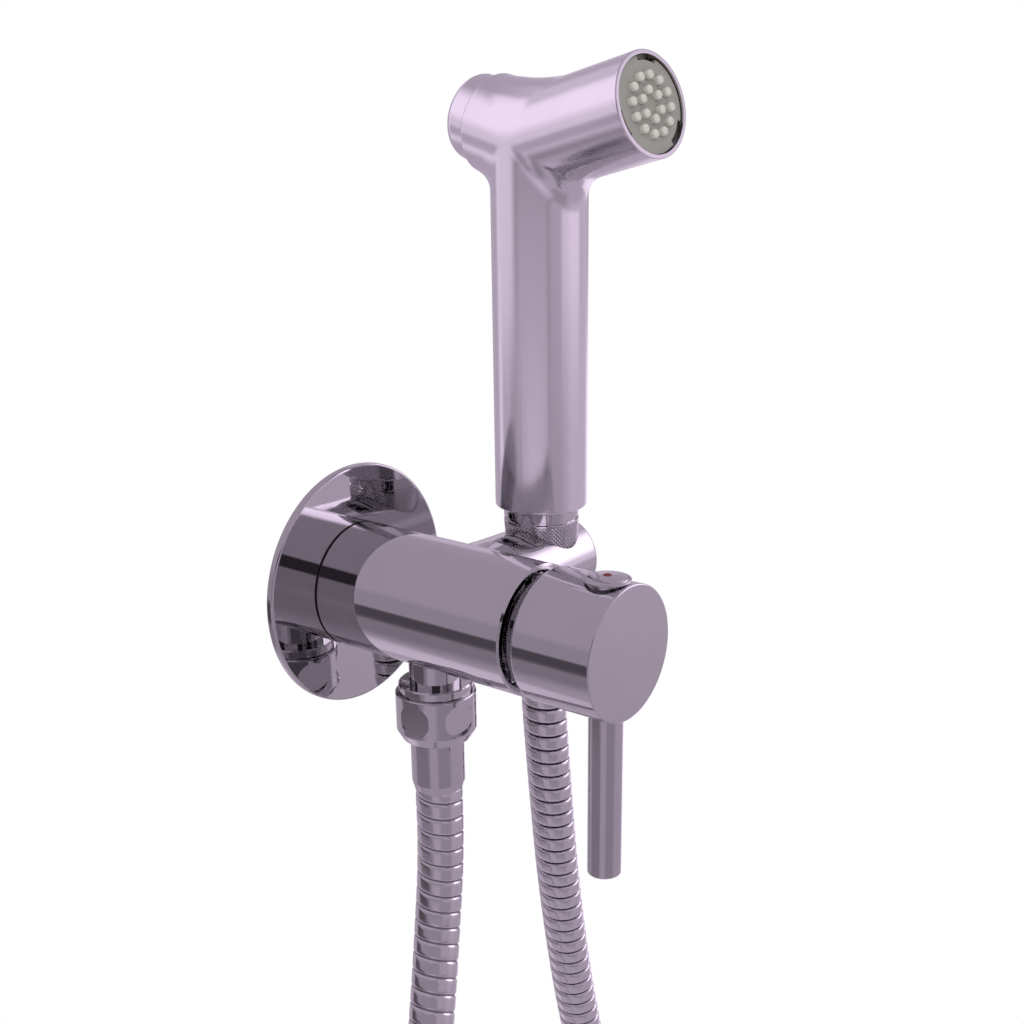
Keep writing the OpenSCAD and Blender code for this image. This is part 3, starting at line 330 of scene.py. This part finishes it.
# Chrome of the mixer
# Brass, machined and polished, then plated with nickel and chromium: a mirror with a faint cool cast,
# whose polish varies a little from place to place.
def plated(name, light_tone, deep_tone, smooth, worn, bump, metal=1.0, grain=350.0):
    """Two near tones, a roughness from smooth to worn, and a fine grain; metal is 0 for plastics."""
    chrome = new_material(name)
    place = add(chrome, "TexCoord", {})
    cloud = add(chrome, "TexNoise", {"Vector": place.outputs["Object"], "Scale": 60.0, "Detail": 4.0})
    tone = add(chrome, "Mix", {0: cloud.outputs["Fac"], 6: linear(light_tone), 7: linear(deep_tone)},
               data_type="RGBA")
    polish = add(chrome, "TexNoise", {"Vector": place.outputs["Object"], "Scale": grain, "Detail": 5.0,
                                      "Roughness": 0.6})
    rough = add(chrome, "MapRange", {"Value": polish.outputs["Fac"], "From Min": 0.3, "From Max": 0.7,
                                     "To Min": smooth, "To Max": worn})
    skin = add(chrome, "Bump", {"Height": polish.outputs["Fac"], "Strength": bump, "Distance": 0.0001})
    return finish_surface(chrome, add(chrome, "BsdfPrincipled", {
        "Base Color": tone.outputs[2], "Metallic": metal, "Roughness": rough.outputs[0],
        "Normal": skin.outputs[0]}))


body_chrome = plated("polished_chrome_plate", "#C3C2C4", "#BCBBBD", 0.008, 0.02, 0.01)

# Handset
# A zinc casting in one piece: handle, spray head and the button's housing are three tubes of one
# radius that flow into each other. It is ground smooth and plated with a softer, satin chrome.
HANDLE_R, YAW = 13.55 * MM, math.radians(-6.4)
HEAD_TILT, REAR_TILT = math.radians(14.5), math.radians(13)
YOKE = Vector((45.4, -34, 120.9)) * MM
TOP_BLEND, SIDE_BLEND, BLEND_REST = 1.6 * MM, 8 * MM, 0.002
VOXEL, SPARE, SLOPE_STEP, SLOPE_LEAST, PULLS, EDGE_STEPS = 0.6 * MM, 4 * MM, 0.02 * MM, 0.2, 4, 5
turned = Matrix.Rotation(YAW, 3, "Z")
head_way = turned @ Vector((0, -math.cos(HEAD_TILT), math.sin(HEAD_TILT)))
rear_way = turned @ Vector((0, math.cos(REAR_TILT), math.sin(REAR_TILT)))
side_way = turned @ Vector((1, 0, 0))
down_way = Vector((0, 0, -1))
# Each tube's direction, its length, its rounded edge, and the mouth inside it as radius and distance
ENDS = [(head_way, 40.7, 0.35, [(12.4, 40.7), (12.4, 33.9), (8, 33.9)]),
        (rear_way, 17.4, 1.0, [(11.9, 17.4), (11.9, 11.2), (3, 11.2)]),
        (down_way, 102.0, 0.7, [(11.2, 102.0), (11.2, 96), (6, 96)])]


def tube_gap(p, way):
    """Distance of points from the wall of one tube that starts at the yoke."""
    n = np.array(way)
    return np.linalg.norm(p - np.maximum(p @ n, 0)[:, None] * n, axis=1) - HANDLE_R


def melt(a, b, width):
    """The smaller of two distances, with a round fillet of that width where they meet."""
    h = np.maximum(width - np.abs(a - b), 0) / width
    return np.minimum(a, b) - h * h * width / 4


def skin_gap(p):
    """Distance from the skin, where the tubes flow into each other most at the middle of each side."""
    flow = 1 + BLEND_REST - np.minimum(np.abs(p @ np.array(side_way)) / HANDLE_R, 1) ** 2
    top = melt(tube_gap(p, head_way), tube_gap(p, rear_way), TOP_BLEND * flow)
    return melt(top, tube_gap(p, down_way), SIDE_BLEND * flow)


def pick(piece):
    bpy.ops.object.select_all(action="DESELECT")
    piece.select_set(True)
    bpy.context.view_layer.objects.active = piece


tubes = []
for way, length, edge, mouth in ENDS:
    long = length * MM + SPARE
    bpy.ops.object.select_all(action="DESELECT")
    bpy.ops.mesh.primitive_cylinder_add(vertices=96, radius=HANDLE_R, depth=long,
                                        location=way * long / 2,
                                        rotation=way.to_track_quat("Z", "Y").to_euler())
    tubes.append(bpy.context.object)
bpy.ops.mesh.primitive_uv_sphere_add(segments=64, ring_count=32, radius=HANDLE_R)
tubes.append(bpy.context.object)
for tube in tubes:
    tube.select_set(True)
bpy.context.view_layer.objects.active = tubes[0]
bpy.ops.object.join()
handset = bpy.context.object
handset.name = "handset_skin"
bpy.ops.object.transform_apply(location=True, rotation=True, scale=True)
melted = handset.modifiers.new("melted", "REMESH")
melted.mode = "VOXEL"
melted.voxel_size = VOXEL
bpy.ops.object.modifier_apply(modifier="melted")

# The skin is drawn in to its exact form: each point goes along the slope of skin_gap until it is zero
mesh = handset.data
points = np.empty(len(mesh.vertices) * 3)
mesh.vertices.foreach_get("co", points)
points = points.reshape(-1, 3)
for pull in range(PULLS):
    gap = skin_gap(points)
    slope = np.stack([(skin_gap(points + step) - skin_gap(points - step)) / (2 * SLOPE_STEP)
                      for step in SLOPE_STEP * np.eye(3)], axis=1)
    points -= slope * (gap / np.maximum((slope ** 2).sum(axis=1), SLOPE_LEAST))[:, None]
mesh.vertices.foreach_set("co", points.reshape(-1))
mesh.update()


def draw_ring(piece, way, radius, distance):
    """Extrudes the open rim of a tube and puts the new ring at that radius and distance."""
    bpy.ops.mesh.extrude_edges_move()
    shape = bmesh.from_edit_mesh(piece.data)
    for vert in shape.verts:
        if vert.select:
            out = vert.co - way * vert.co.dot(way)
            vert.co = out.normalized() * radius + way * distance
    bmesh.update_edit_mesh(piece.data)


for way, length, edge, mouth in ENDS:
    pick(handset)
    bpy.ops.object.mode_set(mode="EDIT")
    bpy.ops.mesh.select_mode(type="VERT")
    bpy.ops.mesh.select_all(action="SELECT")
    bpy.ops.mesh.bisect(plane_co=way * (length - edge) * MM, plane_no=way, use_fill=False,
                        threshold=1e-7, clear_outer=True)
    bpy.ops.mesh.select_all(action="DESELECT")
    shape = bmesh.from_edit_mesh(handset.data)
    for line in shape.edges:
        if line.is_boundary and abs(line.verts[0].co.dot(way) - (length - edge) * MM) < 0.01 * MM:
            line.select_set(True)
    bmesh.update_edit_mesh(handset.data)
    for i in range(1, EDGE_STEPS + 1):
        a = math.pi / 2 * i / EDGE_STEPS
        draw_ring(handset, way, HANDLE_R - edge * MM * (1 - math.cos(a)),
                  (length - edge * (1 - math.sin(a))) * MM)
    for radius, distance in mouth:
        draw_ring(handset, way, radius * MM, distance * MM)
    bpy.ops.mesh.edge_face_add()
    bpy.ops.object.mode_set(mode="OBJECT")
pick(handset)
bpy.ops.transform.translate(value=YOKE)
bpy.ops.object.transform_apply(location=True, rotation=False, scale=False)
bpy.ops.object.mode_set(mode="EDIT")
bpy.ops.mesh.select_all(action="SELECT")
bpy.ops.mesh.remove_doubles(threshold=0.01 * MM)
bpy.ops.mesh.normals_make_consistent(inside=False)
bpy.ops.object.mode_set(mode="OBJECT")
bpy.ops.object.shade_smooth_by_angle(angle=math.radians(35))
satin_chrome = plated("satin_chrome_plate", "#DAD9DB", "#D3D2D5", 0.15, 0.19, 0.02)
handset.data.materials.append(satin_chrome)
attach(handset, "handset")
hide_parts("handset_shell")
satin_pieces = bpy.data.collections.new("satin_pieces")
satin_pieces.objects.link(handset)
tent_handset.light_linking.receiver_collection = satin_pieces


# Turned pieces
# Most of the mixer is turned from bar, so its pieces are drawn as rings about an axis, and the bores
# that cross them are cut out afterwards.
HOLD = 0.03     # a ring this far beyond each rounded corner keeps the flat beside it flat in its shading


def rounded(corners, steps=5):
    """Rings of a turned profile in millimetres; a corner is radius, distance and its rounding."""
    rings = []
    for i, (radius, distance, roll) in enumerate(corners):
        here = Vector((radius, distance))
        if not roll:
            rings.append(tuple(here))
            continue
        back = (Vector(corners[i - 1][:2]) - here).normalized()
        ahead = (Vector(corners[(i + 1) % len(corners)][:2]) - here).normalized()
        half = back.angle(ahead) / 2
        reach = roll / math.tan(half)
        centre = here + (back + ahead).normalized() * roll / math.sin(half)
        first, last = here + back * reach - centre, here + ahead * reach - centre
        start = math.atan2(first.y, first.x)
        sweep = (math.atan2(last.y, last.x) - start + math.pi) % (2 * math.pi) - math.pi
        rings.append(tuple(here + back * (reach + HOLD)))
        for k in range(steps + 1):
            a = start + sweep * k / steps
            rings.append((centre.x + roll * math.cos(a), centre.y + roll * math.sin(a)))
        rings.append(tuple(here + ahead * (reach + HOLD)))
    return rings


def turn(name, way, rings, place, sides=96, smooth=30):
    """A turned piece: a circle, drawn on ring by ring about its axis, closed, and set in its place."""
    bpy.ops.object.select_all(action="DESELECT")
    bpy.ops.mesh.primitive_circle_add(vertices=sides, radius=max(rings[0][0], 0.01) * MM,
                                      location=way * rings[0][1] * MM,
                                      rotation=way.to_track_quat("Z", "Y").to_euler())
    piece = bpy.context.object
    piece.name = name
    bpy.ops.object.transform_apply(location=True, rotation=True, scale=True)
    bpy.ops.object.mode_set(mode="EDIT")
    bpy.ops.mesh.select_mode(type="VERT")
    bpy.ops.mesh.select_all(action="SELECT")
    for radius, distance in rings[1:]:
        draw_ring(piece, way, radius * MM, distance * MM)
    bpy.ops.mesh.select_all(action="SELECT")
    bpy.ops.mesh.remove_doubles(threshold=0.002 * MM)
    bpy.ops.mesh.select_all(action="SELECT")
    bpy.ops.mesh.fill_holes(sides=0)
    bpy.ops.mesh.select_all(action="SELECT")
    bpy.ops.mesh.normals_make_consistent(inside=False)
    bpy.ops.transform.translate(value=place)
    bpy.ops.object.mode_set(mode="OBJECT")
    bpy.ops.object.shade_smooth_by_angle(angle=math.radians(smooth))
    return piece


def fit(piece, body, slot, material, *replaced):
    """Gives a piece its material and fixes it to its body; the slot is not used."""
    piece.data.materials.clear()
    piece.data.materials.append(material)
    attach(piece, body)
    if replaced:
        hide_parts(*replaced)


def carve(piece, cutter, operation="DIFFERENCE", smooth=30):
    """Cuts a shape out of a piece, or unites the two, and removes the cutter."""
    pick(piece)
    cut = piece.modifiers.new("cut", "BOOLEAN")
    cut.operation = operation
    cut.solver = "EXACT"
    cut.object = cutter
    bpy.ops.object.modifier_apply(modifier="cut")
    bpy.data.objects.remove(cutter)
    bpy.ops.object.shade_smooth_by_angle(angle=math.radians(smooth))


def rod(radius, start, end, way, place):
    """A plain round bar, used only to cut with or to be united with a piece."""
    return turn("rod", way, [(0, start), (radius, start), (radius, end), (0, end)], place, 64)


OUTWARD, UP = Vector((0, -1, 0)), Vector((0, 0, 1))

# Rosette
# A flat cover plate, pressed from brass sheet with a rounded rim and chromed, that hides the hole in
# the tiles. A thin black ring fills the joint between it and the body as painted shade of the gap there,
# and the gasket lies in its back.
BORE_R, ROSETTE_R, ROSETTE_T, BODY_FROM, JOINT_SHADE_R = 15.05, 35.0, 2.5, 3.0, 18.05
GASKET_IN, GASKET_OUT, GASKET_DEEP = 27, 32, 0.8
plate = rounded([(BORE_R, 0, 0), (GASKET_IN, 0, 0), (GASKET_IN, GASKET_DEEP, 0),
                 (GASKET_OUT, GASKET_DEEP, 0), (GASKET_OUT, 0, 0), (ROSETTE_R, 0, 0.9),
                 (ROSETTE_R, ROSETTE_T, 0.8), (BORE_R, ROSETTE_T, 0)])
rosette = turn("rosette_plate", OUTWARD, plate + plate[:1], ORIGIN, 160)
fit(rosette, "mixer", "chrome", body_chrome, "rosette")
# Black rubber for the hidden seals, also used for the black ring that is painted shade in the joint
black_rubber_and_joint_shade = plated("black_rubber_and_joint_shade", "#1B191C", "#242126", 0.55, 0.7, 0.3, 0.0, 900.0)
# Painted shade: a thin black ring stands in for the dark gap between the rosette and the body
joint_shade = rounded([(BORE_R, ROSETTE_T, 0), (BORE_R, BODY_FROM, 0), (JOINT_SHADE_R, BODY_FROM, 0),
                (JOINT_SHADE_R, ROSETTE_T, 0.1)])
joint_seal = turn("joint_seal", OUTWARD, joint_shade + joint_shade[:1], ORIGIN, 96)
fit(joint_seal, "mixer", "rubber", black_rubber_and_joint_shade)

# Hose nut and ferrules
# A round brass nut with five flats spot-faced for a spanner, and the two brass ferrules that are crimped
# on the ends of the hose. Their corners are rounded, so each has a thin line of light.
OUTLET, NUT_LOW, NUT_HIGH, HOSE_NUT_R = Vector((0, -30, 0)) * MM, -40.6, -26.1, 11.6
COLLAR_R, THREAD_R, COLLAR_T = 7.4, 9.5, 3.6
FLATS, FLAT_R, FLAT_FIRST, FLAT_DOWN, FLAT_LONG = 5, 4.95, 41.5, 6.4, 5
spanner_nut = rounded([(COLLAR_R, NUT_LOW, 0), (HOSE_NUT_R - 1.6, NUT_LOW, 0.5),
                       (HOSE_NUT_R, NUT_LOW + 2.9, 1.2), (HOSE_NUT_R, NUT_HIGH, 0.6),
                       (THREAD_R, NUT_HIGH, 0.2), (THREAD_R, NUT_LOW + COLLAR_T, 0),
                       (COLLAR_R, NUT_LOW + COLLAR_T, 0)], 9)
hose_nut = turn("spanner_nut", UP, spanner_nut + spanner_nut[:1], ORIGIN, 160)
FLAT_PLANE = math.sqrt(HOSE_NUT_R ** 2 - FLAT_R ** 2) + 0.1
for i in range(FLATS):
    a = math.radians(FLAT_FIRST + 360 * i / FLATS)
    facing = Vector((math.cos(a), math.sin(a), 0))
    carve(hose_nut, rod(FLAT_R, FLAT_PLANE, FLAT_PLANE + FLAT_LONG, facing,
                        UP * (NUT_HIGH - FLAT_DOWN) * MM), smooth=12)
pick(hose_nut)
bpy.ops.transform.translate(value=OUTLET)
bpy.ops.object.transform_apply(location=True, rotation=False, scale=False)
fit(hose_nut, "mixer", "chrome", body_chrome, "hose_nut")
FERRULE_BORE, FLANGE_R, NECK_R, SLEEVE_R, FLANGE_TOP, SLEEVE_END = 4.5, 9.3, 7.2, 7.8, 5.6, -16.3
ferrule = rounded([(FERRULE_BORE, FLANGE_TOP, 0), (FLANGE_R, FLANGE_TOP, 0.1), (FLANGE_R, COLLAR_T, 0),
                   (NECK_R, COLLAR_T, 0), (NECK_R, -0.1, 0), (SLEEVE_R, -0.1, 0.2),
                   (SLEEVE_R, -13.9, 1.0), (7.15, SLEEVE_END, 0.15), (FERRULE_BORE, SLEEVE_END, 0)])
SEAT_PLACE = Vector((45.4, -34, 0)) * MM
for name, body, place, node in (
        ("ferrule_at_outlet", "mixer", OUTLET + UP * NUT_LOW * MM, "lower_ferrule"),
        ("ferrule_at_handset", "hose_end", SEAT_PLACE, "upper_ferrule")):
    fit(turn(name, UP, ferrule + ferrule[:1], place, 72), body, "chrome", body_chrome, node)

# Holder arm
# A short brass arm screwed into the body, tapering a little to a rounded tip. A tapered seat for the
# knurled nut is bored through it, and a plastic liner below keeps the hose off the metal.
ARM_PLACE, ALONG = Vector((0, -34, 0)) * MM, Vector((1, 0, 0))
SPIGOT_R, SPIGOT_FROM, ARM_FROM, ARM_TO, ARM_R, TIP_R, TIP_ROLL = 10.4, 13.05, 19.5, 58.2, 13.4, 12.3, 2.2
NUT_R, CONE_TOP, SEAT_R, SEAT_ROOM, SEAT_OPEN, BUSH_TOP, BUSH_R = 11.1, 13.5, 9.83, 0.1, 16, -1.1, 10.6
spigot = [(0, SPIGOT_FROM), (SPIGOT_R, SPIGOT_FROM), (SPIGOT_R, ARM_FROM)]
shaft = rounded([(SPIGOT_R, ARM_FROM, 0), (ARM_R, ARM_FROM, 0.1), (TIP_R, ARM_TO, TIP_ROLL),
                 (0.01, ARM_TO, 0)], 8)
arm = turn("arm_casting", ALONG, spigot + shaft + [(0, ARM_TO)], ARM_PLACE, 128)
seat = turn("seat", UP, [(0, BUSH_TOP - 0.05), (SEAT_R + SEAT_ROOM, BUSH_TOP - 0.05),
                         (NUT_R + SEAT_ROOM, CONE_TOP), (NUT_R + SEAT_ROOM, SEAT_OPEN), (0, SEAT_OPEN)],
            SEAT_PLACE, 96)
carve(arm, seat, smooth=25)
carve(arm, rod(BUSH_R + 0.06, -16, BUSH_TOP, UP, SEAT_PLACE), smooth=25)
fit(arm, "mixer", "chrome", body_chrome, "holder_arm")

# Knob and lever
# The knob is a hollow cap turned from brass bar, with a hub across it that the stem, the grub screw and
# the lever are fixed in. The lever is a plain round pin, screwed into the hub.
LEVER_PLACE = Vector((0, -89.3, 0)) * MM
KNOB_R, BACK_R, LIP_R, KNOB_FROM, BACK_TO, KNOB_TO = 18.5, 16.5, 15.0, 68.9, 72.4, 96.5
HOLLOW_R, HOLLOW_FROM, HOLLOW_TO, HUB_R, HUB_REACH = 16.6, 72.6, 93.5, 6.2, 17.3
# Radius, start and end along the hub: the plug's seat and bore, the grub screw's hole and the lever's
HUB_BORES = ((5.54, 17.5, 22), (4.05, 13.4, 18), (2.55, 3.4, 14), (4.75, -22, -8.9))
hollow = [(0, HOLLOW_TO), (HOLLOW_R, HOLLOW_TO), (HOLLOW_R, HOLLOW_FROM)]
cap = rounded([(LIP_R, KNOB_FROM, 0), (BACK_R, KNOB_FROM, 0.3), (KNOB_R, BACK_TO, 1.6),
               (KNOB_R, KNOB_TO, 0.45), (0.01, KNOB_TO, 0)])
knob = turn("knob_cap", OUTWARD, hollow + cap + [(0, KNOB_TO)], ORIGIN, 128)
carve(knob, rod(HUB_R, -HUB_REACH, HUB_REACH, UP, LEVER_PLACE), "UNION")
for radius, start, end in HUB_BORES:
    carve(knob, rod(radius, start, end, UP, LEVER_PLACE))
fit(knob, "knob", "chrome", body_chrome, "knob")
LEVER_R, LEVER_END, LEVER_FROM = 4.7, -66, -9
pin = rounded([(0.01, LEVER_END, 0), (LEVER_R, LEVER_END, 0.5), (LEVER_R, LEVER_FROM, 0.4),
               (0.01, LEVER_FROM, 0)])
lever = turn("lever_rod", UP, pin, LEVER_PLACE, 64)
fit(lever, "knob", "chrome", body_chrome, "lever_pin")

# Nut of the handset
# A brass nut turned with a taper that sits in the arm. Its grip is a diamond knurl, rolled in before it
# was chromed; above it runs a bright band with a narrow groove.
NUT_TOP, TAPER, PITCH, KNURL_IN, KNURL_OUT = 18.9, math.tan(math.radians(5)), 1.2, 0.35, 9.6
KNURL_FROM, KNURL_TO, KNURL_RINGS, GROOVE_Z, GROOVE_HALF, GROOVE_IN = 1.9, 14.4, 84, 15.4, 0.45, 0.5


def nut_radius(z):
    return NUT_R - max(0, CONE_TOP - z) * TAPER


teeth = round(2 * math.pi * NUT_R / PITCH)
nut = [(COLLAR_R, 0), (nut_radius(0) - 0.25, 0), (nut_radius(0), 0.25),
       (nut_radius(KNURL_FROM - 0.2), KNURL_FROM - 0.2)]
nut += [(nut_radius(z), z) for z in np.linspace(KNURL_FROM, KNURL_TO, KNURL_RINGS)]
band = [(NUT_R, KNURL_TO + 0.2, 0), (NUT_R, GROOVE_Z - GROOVE_HALF, 0.1),
        (NUT_R - GROOVE_IN, GROOVE_Z - GROOVE_HALF, 0), (NUT_R - GROOVE_IN, GROOVE_Z + GROOVE_HALF, 0),
        (NUT_R, GROOVE_Z + GROOVE_HALF, 0.1), (NUT_R, NUT_TOP, 0.3), (THREAD_R, NUT_TOP, 0)]
nut += [(NUT_R, KNURL_TO + 0.1)] + rounded(band, 3)
nut += [(THREAD_R, COLLAR_T), (COLLAR_R, COLLAR_T), (COLLAR_R, 0)]
knurled = turn("knurled_grip", UP, nut, ORIGIN, 8 * teeth)
for vert in knurled.data.vertices:
    z, out = vert.co.z / MM, math.hypot(vert.co.x, vert.co.y) / MM
    if KNURL_FROM + 0.01 < z < KNURL_TO - 0.01 and out > KNURL_OUT:
        turned_by = math.atan2(vert.co.y, vert.co.x) / (2 * math.pi) * teeth
        one, two = (turned_by + z / PITCH) % 1, (turned_by - z / PITCH) % 1
        tooth = min(abs(2 * one - 1), abs(2 * two - 1), 0.5) / 0.5
        sink = KNURL_IN * (1 - tooth) / out
        vert.co.x -= vert.co.x * sink
        vert.co.y -= vert.co.y * sink
pick(knurled)
bpy.ops.object.shade_smooth_by_angle(angle=math.radians(18))
bpy.ops.transform.translate(value=SEAT_PLACE)
bpy.ops.object.transform_apply(location=True, rotation=False, scale=False)
fit(knurled, "handset", "chrome", body_chrome, "knurled_nut")

# Indicator plug
# A small turned brass cap pressed into the knob over its grub screw: a rolled rim round a low lens,
# with a dot of dark red enamel in the middle that shows the warm side.
PLUG_PLACE = Vector((0, -89.3, 17.5)) * MM
LENS_R, LENS_RISE, RIM_R, RIM_Z, DOT_R, DOT_FROM = 5.5, 1.0, 6.3, 1.7, 1.15, 1.9
lens = [(LENS_R * math.cos(a), RIM_Z - 0.1 + LENS_RISE * math.sin(a))
        for a in np.linspace(0, math.pi / 2, 14)[:-1] if LENS_R * math.cos(a) > DOT_R + 0.1]
cap = [(0, -3.5), (3.7, -3.5), (4, -3.2), (4, 0), (5.5, 0)] + rounded(
    [(5.5, 1.1, 0), (RIM_R, 1.1, 0.2), (RIM_R, RIM_Z, 0.25), (LENS_R + 0.15, RIM_Z, 0.1),
     (LENS_R, RIM_Z - 0.1, 0)])
cap += lens[1:] + [(DOT_R + 0.02, RIM_Z + LENS_RISE - 0.12), (DOT_R + 0.02, DOT_FROM), (0, DOT_FROM)]
plug = turn("indicator_cap", UP, cap, PLUG_PLACE, 72)
fit(plug, "knob", "chrome", body_chrome, "indicator_plug")
red_enamel = plated("dark_red_enamel", "#6E0518", "#5A0412", 0.35, 0.45, 0.05, 0.0, 600.0)
top = RIM_Z + LENS_RISE
dot = [(0, DOT_FROM), (DOT_R, DOT_FROM), (DOT_R, top - 0.1), (DOT_R - 0.1, top),
       (DOT_R - 0.4, top + 0.08), (0, top + 0.1)]
warm_dot = turn("warm_dot", UP, dot, PLUG_PLACE, 32)
fit(warm_dot, "knob", "red_mark", red_enamel, "temperature_mark")

# Trigger button
# A zinc cap, satin chromed like the handset, that slides in its housing against a spring. Its face is
# flat and its edge is a full round.
BUTTON_R, BUTTON_FACE, BUTTON_ROLL, SKIRT, CAP_WALL = 11.8, 25.7, 2.8, 14.5, 1.8
STEM_R, STEM_END, CAP_FLOOR = 3.4, 15.2, 22.9
button = rounded([(BUTTON_R - CAP_WALL, SKIRT, 0), (BUTTON_R, SKIRT, 0.15),
                  (BUTTON_R, BUTTON_FACE, BUTTON_ROLL), (0, BUTTON_FACE, 0)], 8)
button += [(0, BUTTON_FACE)]
inside = [(0, STEM_END), (STEM_R, STEM_END), (STEM_R, CAP_FLOOR), (BUTTON_R - CAP_WALL, CAP_FLOOR),
          (BUTTON_R - CAP_WALL, SKIRT)]
trigger = turn("trigger_cap", rear_way, inside + button[1:], YOKE)
fit(trigger, "trigger", "handset_chrome", satin_chrome, "trigger_button")
satin_pieces.objects.link(trigger)

# Spray face
# A grey moulded plate, matt from the mould, holds a soft silicone mat whose nozzles stand through it.
# Each nozzle is a small dome with a fine hole, so that lime can be rubbed off with a thumb.
MAT_FROM, MAT_R, PLATE_FROM, PLATE_FRONT = 36.2, 11.3, 37.4, 39.9
NOZZLE_R, NOZZLE_RISE, DOME, DOME_IN, DOME_R, HOLE_R, HOLE_DEEP = 1.2, 1.8, 0.8, 0.35, 0.83, 0.14, 0.5
# How many nozzles stand on each circle, its radius, and the angle of the first
NOZZLE_RINGS = ((12, 7.3, 23), (6, 3.6, 37))
silicone = plated("grey_silicone", "#C9C5C0", "#BFBBB5", 0.4, 0.55, 0.15, 0.0, 1200.0)
mat = turn("nozzle_rubber", head_way,
           [(0, MAT_FROM), (MAT_R, MAT_FROM), (MAT_R, PLATE_FROM), (0, PLATE_FROM)], ORIGIN)
tip = PLATE_FRONT + NOZZLE_RISE
shank = [(0, PLATE_FROM - 0.3), (NOZZLE_R - 0.02, PLATE_FROM - 0.3), (NOZZLE_R - 0.02, tip - DOME)]
shank += [(DOME_IN + DOME_R * math.cos(a), tip - DOME + DOME * math.sin(a))
          for a in np.linspace(0, math.pi / 2, 6)[1:]]
shank += [(HOLE_R, tip), (HOLE_R, tip - HOLE_DEEP), (0, tip - HOLE_DEEP)]
nozzle = turn("nozzle", head_way, shank, ORIGIN, 20)
upright = turned @ Vector((0, math.sin(HEAD_TILT), math.cos(HEAD_TILT)))
crosswise = upright.cross(head_way)
spray = [mat]
for count, ring_r, phase in NOZZLE_RINGS:
    for i in range(count):
        a = math.radians(phase + 360 * i / count)
        copy = nozzle.copy()
        copy.data = nozzle.data.copy()
        copy.location = (crosswise * math.cos(a) + upright * math.sin(a)) * ring_r * MM
        bpy.context.collection.objects.link(copy)
        spray.append(copy)
bpy.ops.object.select_all(action="DESELECT")
bpy.data.objects.remove(nozzle)
for piece in spray:
    piece.select_set(True)
bpy.context.view_layer.objects.active = mat
bpy.ops.object.join()
bpy.ops.transform.translate(value=YOKE)
bpy.ops.object.transform_apply(location=True, rotation=False, scale=False)
fit(mat, "handset", "nozzle", silicone, "nozzle_mat")

# Hidden parts
# Everything behind the chrome: cast and turned brass with its tool marks, stainless screws and springs,
# black rubber seals, moulded plastics, and the two discs of fired and lapped alumina.
INSIDE = {"brass": plated("turned_brass", "#C9A24A", "#B08A38", 0.22, 0.38, 0.15, 1.0, 500.0),
          "steel": plated("stainless_steel", "#BDBBBE", "#A9A7AB", 0.18, 0.32, 0.1, 1.0, 700.0),
          "rubber": black_rubber_and_joint_shade,
          "foam": plated("closed_cell_foam", "#8D8B8E", "#79777B", 0.8, 0.95, 0.6, 0.0, 1500.0),
          "white_plastic": plated("white_acetal", "#E9E8E4", "#DEDCD7", 0.35, 0.5, 0.08, 0.0, 500.0),
          "dark_plastic": plated("black_nylon", "#35333A", "#2A282E", 0.4, 0.55, 0.12, 0.0, 700.0),
          "ceramic": plated("lapped_alumina", "#F2EFEA", "#E6E2DB", 0.08, 0.16, 0.02, 0.0, 900.0),
          "plate_grey": plated("grey_moulded_plate", "#96938E", "#8B8883", 0.5, 0.62, 0.2, 0.0, 1100.0),
          "nozzle": silicone, "red_mark": red_enamel, "chrome": body_chrome, "handset_chrome": satin_chrome}
for part in frame["record"]["subparts"]:
    mesh = nodes[part["node"]].data
    mesh.materials.clear()
    mesh.materials.append(INSIDE[part["material_slot"]])
for piece in (rosette, hose_nut, knob, lever, knurled, plug, nodes["mixer_body"], arm,
              nodes["dome_cover"], nodes["outlet_nipple"], hose_strip):
    polished_pieces.objects.link(piece)
hose_only = bpy.data.collections.new("hose_only")
hose_only.objects.link(hose_strip)
tent_hose.light_linking.receiver_collection = hose_only
for name in ("wall_manifold", "wall_gasket"):
    nodes[name].visible_glossy = False
